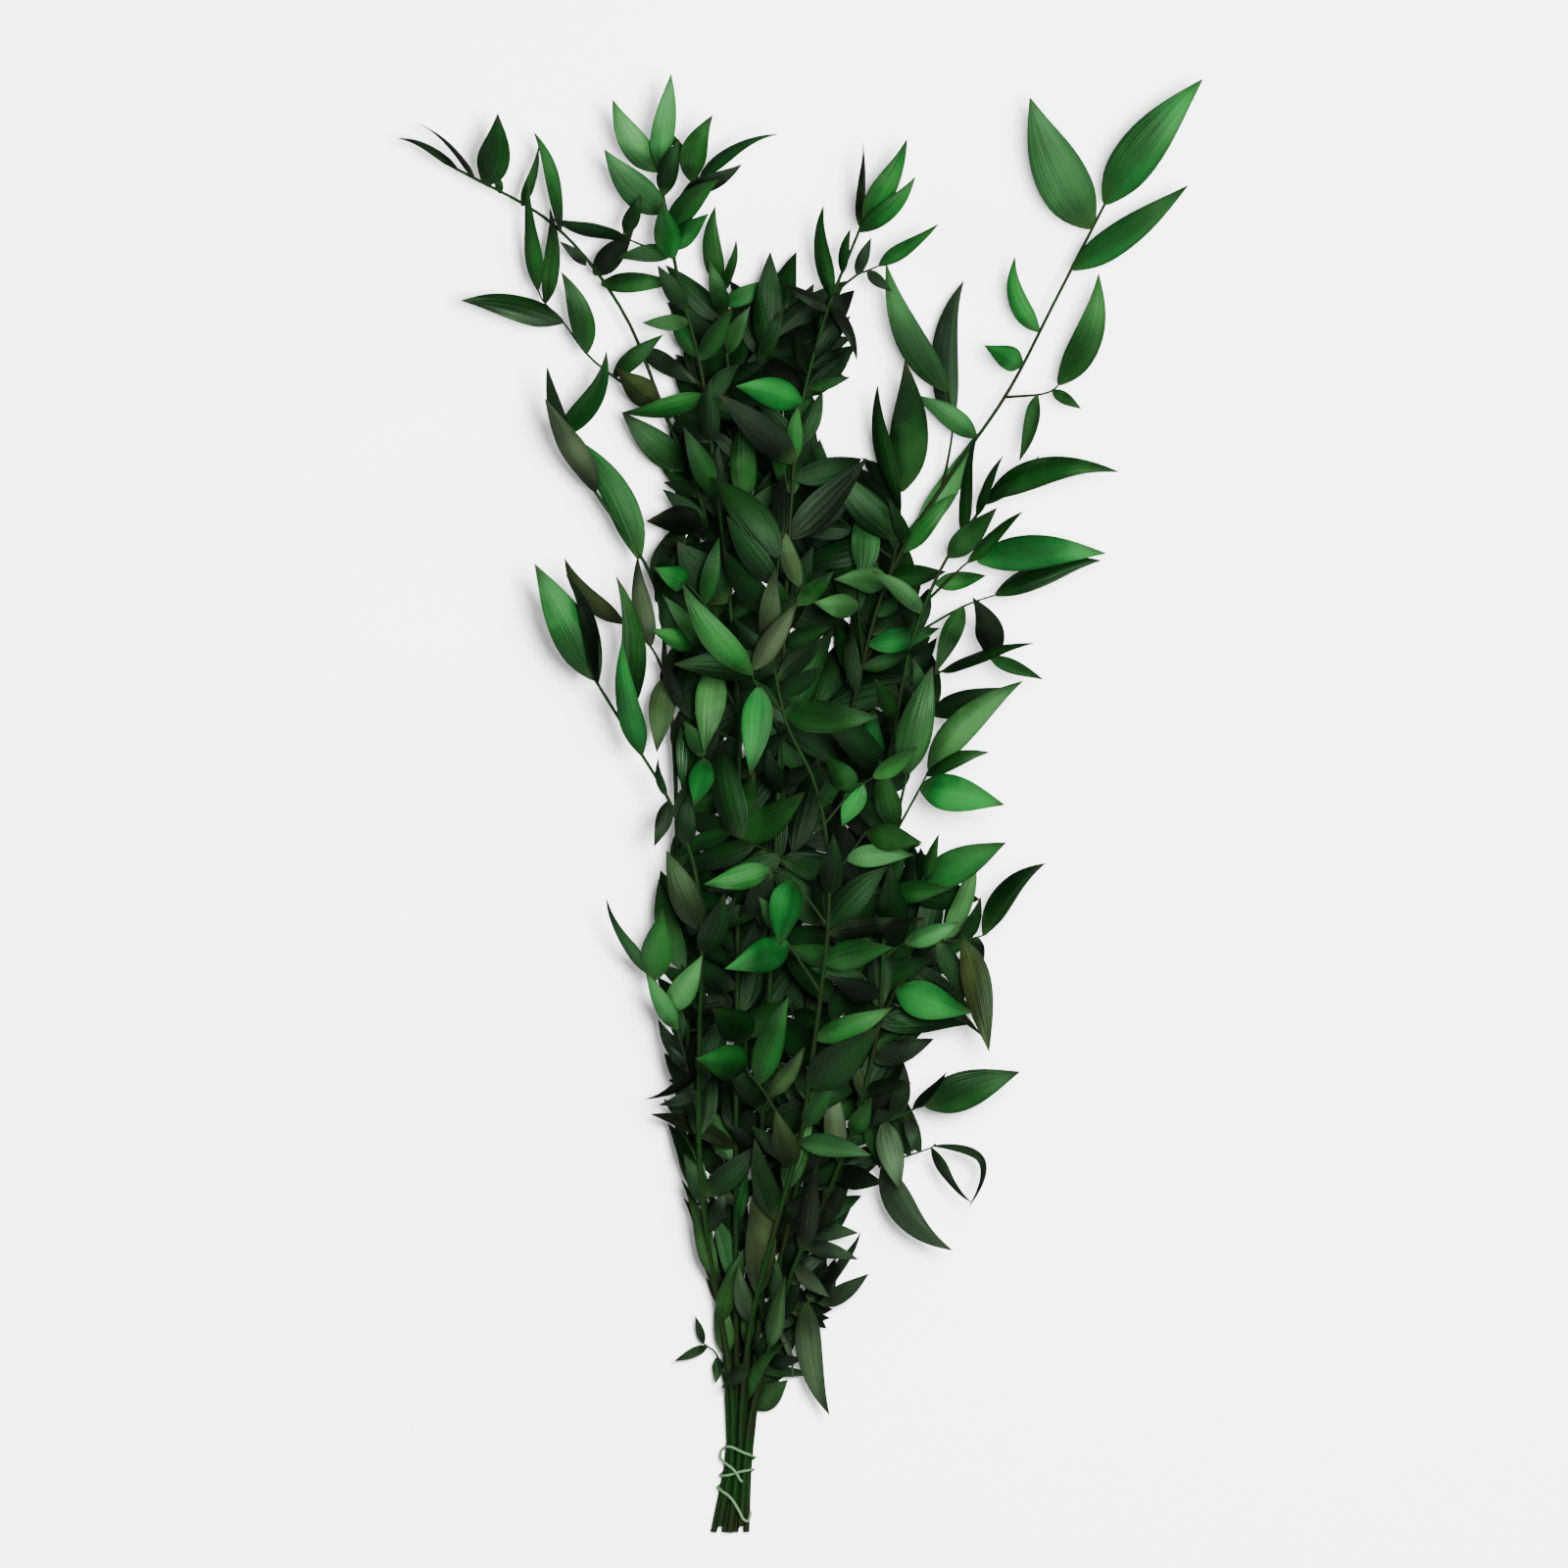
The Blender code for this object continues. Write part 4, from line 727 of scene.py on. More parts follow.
    def draw_spray(self, targets):
        """A spray drawn at random on some stem, with its leaves, not yet tested for room."""
        draw = self.random
        name = draw.choice(list(STEM_PLACES))
        line = self.stems[name]
        if targets and draw.random() < 0.7:
            i, j = draw.choice(targets)
            goal = Vector(((i + 0.5) * CELL, (j + 0.5) * CELL, 0.0))
            root = nearest_on_line(line, goal.x, max(FILL_LOW, goal.y - draw.uniform(8.0, 36.0)))
            goal.z = root.z + draw.uniform(-0.5, 0.5) * (goal.xy - root.xy).length
            length = min(56.0, max(12.0, (goal - root).length))
            heading = (goal - root).normalized()
        else:
            root, run = line_at(line, draw.uniform(FILL_START, line_length(line) - 8.0))
            outward = Matrix.Rotation(draw.uniform(0.0, math.tau), 3, run)
            outward = outward @ run.cross(UP).normalized()
            spread = draw.uniform(0.6, 1.1)
            heading = run * math.cos(spread) + outward * math.sin(spread)
            length = draw.uniform(20.0, 56.0)
        return self.grow_spray(name, root, heading, length)

    def grow_spray(self, name, root, heading, length):
        """Twig and leaves of a spray that starts along a heading, and the cells under them."""
        draw = self.random
        size = LOW_SPRAY_SIZE if root.y < LOW_LEAVES else 1.0
        points = [root]
        for f in (0.5, 1.0):
            point = root + heading * length * f + UP * 6.0 * f * (1.0 - f)
            point.z = max(point.z, FILL_FLOOR)
            points.append(point)
        reach = line_length(points)
        count = max(3, round(reach / 9.0))
        hand = draw.choice((1.0, -1.0))
        leaves = []
        for i in range(count):
            base, run = line_at(points, (reach - SINK) * (0.35 + 0.65 * i / (count - 1)))
            hand = -hand
            fan = 0.0 if i == count - 1 else hand * draw.uniform(0.6, 0.95)
            across = run.cross(UP).normalized()
            aim = run * math.cos(fan) + across * math.sin(fan)
            leaf_length = draw.uniform(32.0, 52.0) * size
            leaves.append((base, aim, leaf_length, leaf_length * draw.uniform(0.30, 0.37),
                           draw.uniform(-0.5, 0.5), draw.uniform(0.05, 0.14),
                           draw.uniform(-0.05, 0.05), draw.uniform(-0.6, 0.6),
                           draw.choice(FILL_TONES)))
        cells = set().union(*(cells_under(lifted_blade(leaf, 0.0)) for leaf in leaves))
        return name, points, leaves, cells

    def fill(self):
        """Adds sprays, first where the body of leaves is still open from above."""
        open_cells = self.open_cells(CELL)
        for name, root_x, root_y, goal_x, goal_y in FLOOR_SPRAYS:
            root = nearest_on_line(self.stems[name], root_x, root_y)
            reach = Vector((goal_x, goal_y, FLOOR_SPRAY_HEIGHT)) - root
            for trial in range(FILL_TRIES):
                if self.place_fill_spray(self.grow_spray(name, root, reach.normalized(),
                                                         reach.length)):
                    break
        for step in range(FILL_STEPS):
            if len(self.blades) >= LEAF_COUNT:
                break
            targets = sorted(open_cells)
            drafts = [self.draw_spray(targets) for k in range(FILL_DRAFTS)]
            drafts.sort(key=lambda draft: -len(draft[3] & open_cells))
            for draft in drafts[:FILL_TRIES]:
                placed = self.place_fill_spray(draft)
                for blade in placed:
                    open_cells -= cells_under(blade)
                if placed:
                    break

    def open_cells(self, size):
        """Cells of the body that no leaf covers yet."""
        cells = body_cells(size)
        for owner, blade in self.blades:
            cells -= cells_under(blade, size)
        return cells

    def place_fill_spray(self, draft):
        """Keeps a drawn spray with the leaves that have room. Gives none if fewer than three do."""
        name, points, leaves, cells = draft
        root = points[0]
        left, right = body_edge(points[-1].y)
        if not left < points[-1].x < right:
            return []
        if not self.space.is_clear(name, root, *spray_shell(points, CLEARANCE), self.trees[name]):
            return []
        mark = len(self.blades), len(self.space.items)
        tree = self.keep_spray(name, points)
        for leaf in leaves:
            for lift in LIFTS:
                if self.try_blade(name, tree, lifted_blade(leaf, lift), under=True):
                    break
        placed = [blade for owner, blade in self.blades[mark[0]:]]
        if len(placed) >= 3:
            return placed
        del self.blades[mark[0]:]
        del self.space.items[mark[1]:]
        del self.sprays[-1]
        return []

    def fill_gaps(self):
        """Single leaves on the stems and sprays, each over a place that is still open from above."""
        open_cells = self.open_cells(GAP_CELL)
        twigs = [(name, line, self.trees[name]) for name, line in self.stems.items()] + self.sprays
        for k in range(GAP_ROUNDS):
            cells = sorted(open_cells)
            self.random.shuffle(cells)
            for cell in cells:
                if cell in open_cells:
                    x, y = ((step + 0.5) * GAP_CELL for step in cell)
                    open_cells -= self.cover_gap(twigs, x, y, 1.0 - GAP_SHRINK * k)

    def cover_gap(self, twigs, x, y, size):
        """Tries leaves that would cover a place. Gives the cells under the one that fits."""
        draw = self.random
        size *= LOW_LEAF_SIZE if y < LOW_LEAVES else 1.0
        near = []
        for name, line, tree in twigs:
            base = nearest_on_line(line, x + draw.uniform(-8.0, 8.0), y - draw.uniform(4.0, 24.0))
            reach = math.hypot(base.x - x, base.y - y)
            if base.y > FILL_LOW and 5.0 < reach < 30.0 * size:
                near.append((reach, name, base, tree))
        for k in range(GAP_TRIES if near else 0):
            reach, name, base, tree = draw.choice(near)
            length = max(reach / draw.uniform(0.30, 0.70), 26.0 * size)
            length = min(length, 54.0 * size)
            aim = Vector((x - base.x, y - base.y, reach * draw.uniform(-0.7, 0.7))).normalized()
            blade = rule_blade(base, base + aim * length, length * draw.uniform(0.30, 0.38),
                               draw.uniform(-0.6, 0.6), draw.uniform(0.04, 0.12),
                               draw.uniform(-0.05, 0.05), draw.uniform(-0.5, 0.5),
                               draw.choice(GAP_TONES))
            if self.try_blade(name, tree, blade, under=True):
                return cells_under(blade, GAP_CELL)
        return set()


def rule_blade(base, tip, *shape):
    """A leaf set by rule. One that would dip into the surface lies on it."""
    lying = tip.z < LYING_BELOW
    if lying:
        tip.z = BLADE_THICK / 2.0
    return Blade(base, tip, *shape, True, lying)


def lifted_blade(leaf, lift):
    """A leaf of a drawn spray, its aim raised by lift."""
    base, aim, length, *shape = leaf
    return rule_blade(base, base + (aim + UP * lift).normalized() * length, *shape)


def cells_under(blade, size=CELL):
    """Cells of the plan that a leaf covers."""
    rows = (0.12, 0.26, 0.40, 0.54, 0.68, 0.82)
    columns = (-0.7, 0.0, 0.7)
    if size < CELL:
        rows = [0.07 + 0.03 * k for k in range(29)]
        columns = (-0.84, -0.63, -0.42, -0.21, 0.0, 0.21, 0.42, 0.63, 0.84)
    cells = set()
    for t in rows:
        share = 1.0 if size == CELL else outline_at(t)
        for across in columns:
            point = blade.place(across * share, t, 0.0, blade.width / 2.0)
            cells.add((math.floor(point.x / size), math.floor(point.y / size)))
    return cells


def body_cells(size):
    """All cells between the edges of the closed body."""
    cells = set()
    for j in range(math.floor(FILL_LOW / size), math.floor(FILL_HIGH / size)):
        left, right = body_edge((j + 0.5) * size)
        for i in range(math.floor(left / size) + 1, math.floor(right / size)):
            cells.add((i, j))
    return cells


# Metres

def to_world(point):
    """A place of the layout, in metres from the middle of the bunch on the surface."""
    return Vector((point.x - CENTRE_X, point.y - CENTRE_Y, point.z)) * MM


# String

def hull_around(layout, y, reach):
    """Convex outline, in x and z, round all stems at one place along the bundle."""
    ring = []
    for line in layout.stems.values():
        for a, b in zip(line, line[1:]):
            if a.y <= y <= b.y:
                point = a.lerp(b, (y - a.y) / (b.y - a.y))
                for k in range(24):
                    angle = math.tau * k / 24.0
                    ring.append((point.x + reach * math.cos(angle), point.z + reach * math.sin(angle)))
                break
    ring.sort()
    outline = []
    for sweep in (ring, ring[::-1]):
        half = []
        for point in sweep:
            while len(half) > 1 and turn_of(half[-2], half[-1], point) <= 0.0:
                half.pop()
            half.append(point)
        outline.extend(half[:-1])
    return outline


def turn_of(a, b, c):
    return (b[0] - a[0]) * (c[1] - a[1]) - (b[1] - a[1]) * (c[0] - a[0])


def string_point(layout, angle, y, lift):
    """Point of the string's centre line at an angle round the bundle, 90 degrees being on top."""
    outline = hull_around(layout, y, STEM_RADIUS + STRING_GAP + STRING_RADIUS)
    mid_x = sum(p[0] for p in outline) / len(outline)
    mid_z = sum(p[1] for p in outline) / len(outline)
    dx = math.cos(math.radians(angle))
    dz = math.sin(math.radians(angle))
    for (ax, az), (bx, bz) in zip(outline, outline[1:] + outline[:1]):
        ex, ez = bx - ax, bz - az
        cross = dx * ez - dz * ex
        if abs(cross) < TINY:
            continue
        far = ((ax - mid_x) * ez - (az - mid_z) * ex) / cross
        along = ((ax - mid_x) * dz - (az - mid_z) * dx) / cross
        if far > 0.0 and -1e-6 <= along <= 1.000001:
            return Vector((mid_x + dx * (far + lift), y, mid_z + dz * (far + lift)))


# Route of the string: angle round the bundle, place along it and height over the stems
STRING_ROUTE = (
    (62, -327.5, 0.2), (76, -326.0, 0.6), (92, -323.4, 1.75), (112, -321.0, 0.8), (135, -319.2, 0.2),
    (160, -317.6, 0.7), (178, -315.4, 1.3), (176, -312.6, 1.0), (158, -310.8, 0.3), (130, -310.6, 0.0),
    (90, -312.4, 0.0), (45, -314.4, 0.0), (0, -316.0, 0.0), (-45, -317.4, 0.0), (-90, -319.4, 0.0),
    (-135, -322.0, 0.0), (-180, -324.4, 0.0), (-225, -324.4, 0.0), (-270, -323.0, 0.0),
    (-315, -322.0, 0.0), (-360, -321.8, 0.0), (-405, -323.4, 0.0), (-450, -326.0, 0.0),
    (-495, -328.4, 0.0), (-540, -330.2, 0.0), (-568, -331.4, 0.3), (-600, -333.6, 0.8),
    (-630, -337.0, 1.2), (-655, -341.5, 1.5), (-672, -345.6, 1.6), (-686, -346.6, 1.6),
    (-694, -344.6, 1.5), (-697, -341.8, 1.4),
)


# Fine leaves

FINE_ACROSS = 4
FINE_ALONG = 9
FINE_THICK = 0.4
FINE_GAP = 0.02
WAVES = 1.3
FINE_OUTLINE = (
    (0.0, 0.16), (0.03, 0.30), (0.07, 0.50), (0.13, 0.74), (0.20, 0.90), (0.28, 0.98),
    (0.36, 1.01), (0.46, 0.98), (0.56, 0.89), (0.66, 0.75), (0.75, 0.58), (0.83, 0.41),
    (0.90, 0.25), (0.95, 0.13), (1.0, 0.02),
)

# Leaf colours, linear, by tone letter. Inner leaves get painted shade: they are darker and take
# darker tones. Low leaves turn towards a dull brown green, which is given as shares of their green.
TONE_COLOURS = {
    "M": (0.0060, 0.060, 0.0080), "B": (0.0090, 0.120, 0.018), "P": (0.026, 0.122, 0.030),
    "D": (0.0026, 0.026, 0.0034), "K": (0.0026, 0.0056, 0.0024), "O": (0.018, 0.034, 0.010),
    "G": (0.034, 0.066, 0.032),
}
# Painted shade on the inner leaves: a lower brightness and darker tones.
INNER_PAINTED_SHADE = 0.46
INNER_PAINTED_SHADE_TONES = {"G": "D", "O": "D", "P": "M"}
LOW_TINT = (0.25, 0.44, 0.19)
LOW_TINT_MOST = 0.45
LOW_TINT_FROM = -110.0
LOW_TINT_SPAN = 140.0


def outline_at(t):
    """Half width of a fine leaf, as a share of its widest, from base to tip."""
    for (t0, h0), (t1, h1) in zip(FINE_OUTLINE, FINE_OUTLINE[1:]):
        if t <= t1:
            return h0 + (h1 - h0) * (t - t0) / (t1 - t0)
    return FINE_OUTLINE[-1][1]


def layered_shape():
    """An empty shape with the map and the colour layers of the leaves."""
    shape = bmesh.new()
    shape.loops.layers.uv.new("leaf")
    shape.verts.layers.float_color.new("tone")
    shape.verts.layers.float.new("dry")
    shape.verts.layers.float.new("gloss")
    return shape


def fine_plate():
    """A leaf as a unit sheet: x across, y from base to tip, with rows closer at both ends."""
    plate = layered_shape()
    bmesh.ops.create_grid(plate, x_segments=FINE_ACROSS, y_segments=FINE_ALONG, size=1.0,
                          calc_uvs=True)
    for vert in plate.verts:
        step = (vert.co.y + 1.0) / 2.0
        vert.co.y = step - 0.30 * step * (1.0 - step) * (0.55 - step)
    for face in plate.faces:
        face.smooth = True
    return plate


def leaf_colour(blade, inner, draw):
    """Tone of one leaf, duller towards the cut ends, darker inside as painted shade, a little different
    on each.
    """
    low = clamp((LOW_TINT_FROM - blade.base.y) / LOW_TINT_SPAN)
    # Inner leaves take darker tones as painted shade.
    letter = INNER_PAINTED_SHADE_TONES.get(blade.tone, blade.tone) if inner else blade.tone
    colour = TONE_COLOURS[letter]
    dull = [colour[1] * share for share in LOW_TINT]
    colour = blend(colour, dull, low * LOW_TINT_MOST)
    # A random brightness for each leaf, lowered on inner leaves as painted shade.
    bright = draw.uniform(0.75, 1.25) * (INNER_PAINTED_SHADE if inner else 1.0)
    warm = draw.uniform(0.85, 1.3)
    return colour[0] * bright * warm, colour[1] * bright, colour[2] * bright


def add_fine_leaf(total, blade, inner, plate, scratch, draw):
    """Bends a copy of the sheet to a leaf, arched, folded and waved, and adds it to the total."""
    leaf = plate.copy()
    tone = leaf.verts.layers.float_color["tone"]
    dry = leaf.verts.layers.float["dry"]
    gloss = leaf.verts.layers.float["gloss"]
    colour = leaf_colour(blade, inner, draw)
    dryness = draw.random() ** 2.0
    # Gloss makes a leaf smoother and sets how much painted sheen it takes; inner leaves take none.
    shine = 0.0 if inner else draw.uniform(0.2, 1.0)
    arch, fold, wave = 0.05, 0.0, 0.0
    if not blade.lying:
        arch = draw.uniform(0.16, 0.44)
        fold = draw.uniform(0.02, 0.10)
        wave = draw.uniform(0.0, 0.10)
    phase = draw.uniform(0.0, math.tau)
    half = blade.width / 2.0
    for vert in leaf.verts:
        across, t, height = vert.co
        place = across * outline_at(t)
        lift = -arch * place * place
        lift += wave * place * abs(place) * math.sin(math.tau * WAVES * t + phase)
        lift -= fold * (1.0 - abs(across)) ** 3 * outline_at(t)
        point = blade.place(place, t, lift * half, half)
        point.z = max(point.z, FINE_THICK / 2.0 + FINE_GAP)
        vert[tone] = (*colour, 1.0)
        vert[dry] = dryness
        vert[gloss] = shine
        vert.co = to_world(point)
    leaf.to_mesh(scratch)
    leaf.free()
    total.from_mesh(scratch)


def bake(guide):
    """The mesh of a guide object with its modifiers, and the guide removed."""
    bpy.context.scene.collection.objects.link(guide)
    bpy.context.view_layer.update()
    graph = bpy.context.evaluated_depsgraph_get()
    mesh = bpy.data.meshes.new_from_object(guide.evaluated_get(graph))
    shape = guide.data
    bpy.data.objects.remove(guide)
    bpy.data.batch_remove([shape])
    return mesh


def new_piece(name, mesh, material, node):
    mesh.name = name
    mesh.materials.clear()
    mesh.materials.append(material)
    mesh.set_sharp_from_angle(angle=math.radians(60.0))
    piece = bpy.data.objects.new(name, mesh)
    bpy.context.scene.collection.objects.link(piece)
    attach(piece, "root")
    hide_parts(node)
    return piece


def fine_leaves(name, layout, plate, material):
    """All leaves of one stem as one piece."""
    draw = random.Random("leaves of " + name)
    total = layered_shape()
    scratch = bpy.data.meshes.new("scratch")
    for number, (owner, blade) in enumerate(layout.blades):
        if owner == name:
            add_fine_leaf(total, blade, number >= layout.hand_count, plate, scratch, draw)
    sheets = bpy.data.meshes.new(name + "_sheets")
    total.to_mesh(sheets)
    total.free()
    bpy.data.meshes.remove(scratch)
    guide = bpy.data.objects.new(name + "_sheets", sheets)
    soften = guide.modifiers.new("soften", "SUBSURF")
    soften.levels = 1
    soften.render_levels = 1
    thicken = guide.modifiers.new("thicken", "SOLIDIFY")
    thicken.thickness = FINE_THICK * MM
    thicken.offset = 0.0
    return new_piece(name + "_leaves", bake(guide), material, name)


# Fine stems and string

STEM_SMOOTH = 70
SPRAY_SMOOTH = 14
STRING_SMOOTH = 220
KNOT_SWELL = 0.28
KNOT_REACH = 2.2
FINE_SPRAY_SHARE = 0.86
FINE_SPRAY_TIP_SHARE = 0.8


def add_line(curve, points, radius, tip_radius, depth, knots=()):
    """A tapered line of a curve with this bevel depth, swollen a little at each knot."""
    spline = curve.splines.new("POLY")
    spline.points.add(len(points) - 1)
    walked = 0.0
    total = line_length(points)
    for i, point in enumerate(points):
        walked += (point - points[i - 1]).length if i else 0.0
        size = radius + (tip_radius - radius) * walked / total
        swell = max((math.exp(-((walked - knot) / KNOT_REACH) ** 2) for knot in knots), default=0.0)
        spline.points[i].co = (*to_world(point), 1.0)
        spline.points[i].radius = size * (1.0 + KNOT_SWELL * swell) / depth


def new_curve(name, radius, resolution):
    curve = bpy.data.curves.new(name, "CURVE")
    curve.dimensions = "3D"
    curve.bevel_depth = radius * MM
    curve.bevel_resolution = resolution
    curve.use_fill_caps = True
    curve.twist_mode = "Z_UP"
    return curve


def distance_to(line, point):
    """How far along a line its place nearest to a point lies."""
    walked = 0.0
    places = []
    for a, b in zip(line, line[1:]):
        run = b - a
        along = clamp((point - a).dot(run) / run.length_squared)
        gap = (a + run * along - point).length
        places.append((gap, walked + run.length * along))
        walked += run.length
    return min(places)[1]


def fine_stem(name, layout, material):
    curve = new_curve(name + "_twigs", STEM_RADIUS, 3)
    line = layout.stems[name]
    knots = []
    for owner, points, tree in layout.sprays:
        if owner == name:
            knots.append(distance_to(line, points[0]))
            add_line(curve, smooth_line(points, SPRAY_SMOOTH), SPRAY_RADIUS * FINE_SPRAY_SHARE,
                     SPRAY_TIP_RADIUS * FINE_SPRAY_TIP_SHARE, STEM_RADIUS)
    add_line(curve, line[:2] + smooth_line(line[2:], STEM_SMOOTH), STEM_RADIUS, STEM_TIP_RADIUS,
             STEM_RADIUS, knots)
    mesh = bake(bpy.data.objects.new(name + "_twigs", curve))
    mesh.shade_smooth()
    return new_piece(name + "_twigs", mesh, material, name)


def fine_string(layout, material):
    knots = [Vector(knot) for knot in STRING_ROUTE]
    path = smooth_line(knots, STRING_SMOOTH)
    points = [string_point(layout, knot.x, knot.y, knot.z) for knot in path]
    curve = new_curve("tie_string", STRING_RADIUS, 4)
    add_line(curve, points, STRING_RADIUS, STRING_RADIUS, STRING_RADIUS)
    mesh = bake(bpy.data.objects.new("tie_string", curve))
    mesh.shade_smooth()
    return new_piece("tie_string", mesh, material, "tie")


# Materials

class Value:
    """The output of a node, so that maths nodes are written as sums."""

    def __init__(self, tree, socket):
        self.tree = tree
        self.socket = socket

    def maths(self, operation, *others):
        node = self.tree.nodes.new("ShaderNodeMath")
        node.operation = operation
        for socket, value in zip(node.inputs, (self, *others)):
            connect(self.tree, value, socket)
        return Value(self.tree, node.outputs[0])

    def __add__(self, other):
        return self.maths("ADD", other)

    def __sub__(self, other):
        return self.maths("SUBTRACT", other)

    def __rsub__(self, other):
        return self.maths("MULTIPLY_ADD", -1.0, other)

    def __mul__(self, other):
        return self.maths("MULTIPLY", other)

    __radd__ = __add__
    __rmul__ = __mul__

    def step(self, low, high):
        """Zero at low, one at high, smooth between."""
        node = self.tree.nodes.new("ShaderNodeMapRange")
        node.interpolation_type = "SMOOTHSTEP"
        connect(self.tree, self, node.inputs["Value"])
        node.inputs["From Min"].default_value = low
        node.inputs["From Max"].default_value = high
        return Value(self.tree, node.outputs[0])


def connect(tree, value, socket):
    if isinstance(value, Value):
        tree.links.new(value.socket, socket)
    else:
        socket.default_value = value


class Surface:
    """A Principled material and the nodes that feed it."""

    def __init__(self, name, **sockets):
        self.material = bpy.data.materials.new(name)
        self.material.use_nodes = True
        self.tree = self.material.node_tree
        self.shader = self.tree.nodes["Principled BSDF"]
        for socket, value in sockets.items():
            self.shader.inputs[socket.replace("_", " ")].default_value = value

    def node(self, kind, output, settings=(), **inputs):
        """Any other node: its kind, the output to use, its settings and its inputs."""
        node = self.tree.nodes.new("ShaderNode" + kind)
        for key, value in dict(settings).items():
            setattr(node, key, value)
        for key, value in inputs.items():
            connect(self.tree, value, node.inputs[key.replace("_", " ")])
        return Value(self.tree, node.outputs[output])

    def blend(self, a, b, factor):
        """Colour a where the factor is 0, colour b where it is 1."""
        node = self.tree.nodes.new("ShaderNodeMix")
        node.data_type = "RGBA"
        for place, value in ((0, factor), (6, a), (7, b)):
            connect(self.tree, value, node.inputs[place])
        return Value(self.tree, node.outputs[2])

    def shade(self, colour, amount):
        """The colour times a grey amount."""
        node = self.tree.nodes.new("ShaderNodeVectorMath")
        node.operation = "SCALE"
        connect(self.tree, colour, node.inputs[0])
        connect(self.tree, amount, node.inputs["Scale"])
        return Value(self.tree, node.outputs[0])

    def noise(self, vector, scale, detail=3.0):
        return self.node("TexNoise", 0, Vector=vector, Scale=scale, Detail=detail)

    def bump(self, height, strength, distance):
        normal = self.node("Bump", 0, Height=height, Strength=strength, Distance=distance)
        self.feed("Normal", normal)

    def feed(self, socket, value):
        connect(self.tree, value, self.shader.inputs[socket])


# Colours of a leaf's wax bloom and painted sheen, base, dry tip and spots, of the twigs, of the string
# and of the floor
WAX_AND_SHEEN_COLOUR = (0.075, 0.190, 0.070, 1.0)
BASE_COLOUR = (0.10, 0.24, 0.06, 1.0)
TIP_COLOUR = (0.022, 0.014, 0.008, 1.0)
SPOT_COLOUR = (0.05, 0.04, 0.015, 1.0)
TWIG_DARK = (0.003, 0.016, 0.003, 1.0)
TWIG_GREEN = (0.010, 0.036, 0.009, 1.0)
TWIG_BROWN = (0.014, 0.012, 0.006, 1.0)
STRING_DARK = (0.075, 0.19, 0.075, 1.0)
STRING_PALE = (0.21, 0.38, 0.20, 1.0)
FLOOR_COLOUR = (0.82, 0.82, 0.82, 1.0)


def leaf_material():
    """Tone by leaf, painted light and shade in broad sweeps and across each leaf, dark edges that are
    partly painted shade, a base darkened by painted shade, wax bloom with painted sheen, dry tips and
    spots, and fine ribs.
    """
    leaf = Surface("leaf", Roughness=0.42, Specular_IOR_Level=0.26,
                   Specular_Tint=(0.52, 0.95, 0.52, 1.0))
    uv = leaf.node("UVMap", "UV", {"uv_map": "leaf"})
    across = leaf.node("SeparateXYZ", "X", Vector=uv)
    along = leaf.node("SeparateXYZ", "Y", Vector=uv)
    place = leaf.node("TexCoord", "Object")
    tone = leaf.node("Attribute", "Color", {"attribute_name": "tone"})
    dry = leaf.node("Attribute", "Fac", {"attribute_name": "dry"})
    gloss = leaf.node("Attribute", "Fac", {"attribute_name": "gloss"})
    edge = (across - 0.5).maths("ABSOLUTE") * 2.0
    veins = (across * (math.tau * 13.0)).maths("SINE")
    ribs = (across * (math.tau * 4.5)).maths("SINE")
    # Broad sweeps of painted light and shade.
    sweep = leaf.noise(place, 24.0, 0.0)
    cloud = leaf.noise(place, 70.0, 2.0)
    streaks = leaf.node("Mapping", "Vector", Vector=uv, Scale=(38.0, 2.2, 1.0))
    fibre = leaf.noise(streaks, 1.0)
    # Painted light and shade: one side of each leaf lighter than the other, the broad sweeps, darker
    # edges (partly the leaf's own dark margin) and a darker base. Fibre, veins, light midrib and darker
    # tip are the leaf's own colour.
    side = (across + 0.9 * (sweep - 0.5)).step(0.32, 0.68)
    bright = (0.48 + 0.85 * sweep.step(0.32, 0.68)) * (0.70 + 0.60 * side)
    bright = bright + 0.30 * (cloud - 0.5) + 0.35 * (fibre - 0.5) + 0.03 * veins
    bright = bright * (1.0 - 0.38 * edge.step(0.62, 1.0)) * (1.12 - 0.12 * edge.step(0.0, 0.12))
    bright = bright * (0.42 + 0.60 * along.step(0.0, 0.34)) * (1.0 - 0.25 * along.step(0.72, 1.0))
    # Wax bloom with painted sheen: pale patches on the glossy leaves.
    wax_and_sheen = (0.4 * cloud + 0.6 * sweep).step(0.50, 0.66) * gloss * 0.50
    pale = leaf.blend(leaf.shade(tone, 1.9), WAX_AND_SHEEN_COLOUR, 0.35)
    colour = leaf.blend(leaf.shade(tone, bright), pale, wax_and_sheen)
    colour = leaf.blend(colour, BASE_COLOUR, along.step(0.22, 0.0) * dry * 0.18)
    colour = leaf.blend(colour, TIP_COLOUR, along.step(0.82, 1.0) * (0.15 + 0.8 * dry))
    spots = leaf.noise(place, 420.0).step(0.66, 0.76) * dry * 0.5
    leaf.feed("Base Color", leaf.blend(colour, SPOT_COLOUR, spots))
    leaf.feed("Roughness", 0.48 + 0.20 * (cloud - 0.5) + 0.10 * dry - 0.16 * gloss)
    leaf.bump(0.35 * veins + 0.5 * ribs + 0.6 * fibre, 0.35, 0.00035)
    return leaf.material


def twig_material():
    twig = Surface("twig", Roughness=0.55, Specular_IOR_Level=0.12,
                   Specular_Tint=(0.6, 0.85, 0.5, 1.0))
    place = twig.node("TexCoord", "Object")
    lines = twig.node("Mapping", "Vector", Vector=place, Scale=(900.0, 45.0, 900.0))
    grain = twig.noise(lines, 1.0)
    patch = twig.noise(place, 24.0)
    green = twig.blend(TWIG_DARK, TWIG_GREEN, grain)
    twig.feed("Base Color", twig.blend(green, TWIG_BROWN, 0.7 * patch.step(0.45, 0.65)))
    twig.feed("Roughness", 0.38 + 0.25 * grain)
    twig.bump(grain, 0.4, 0.0003)
    return twig.material


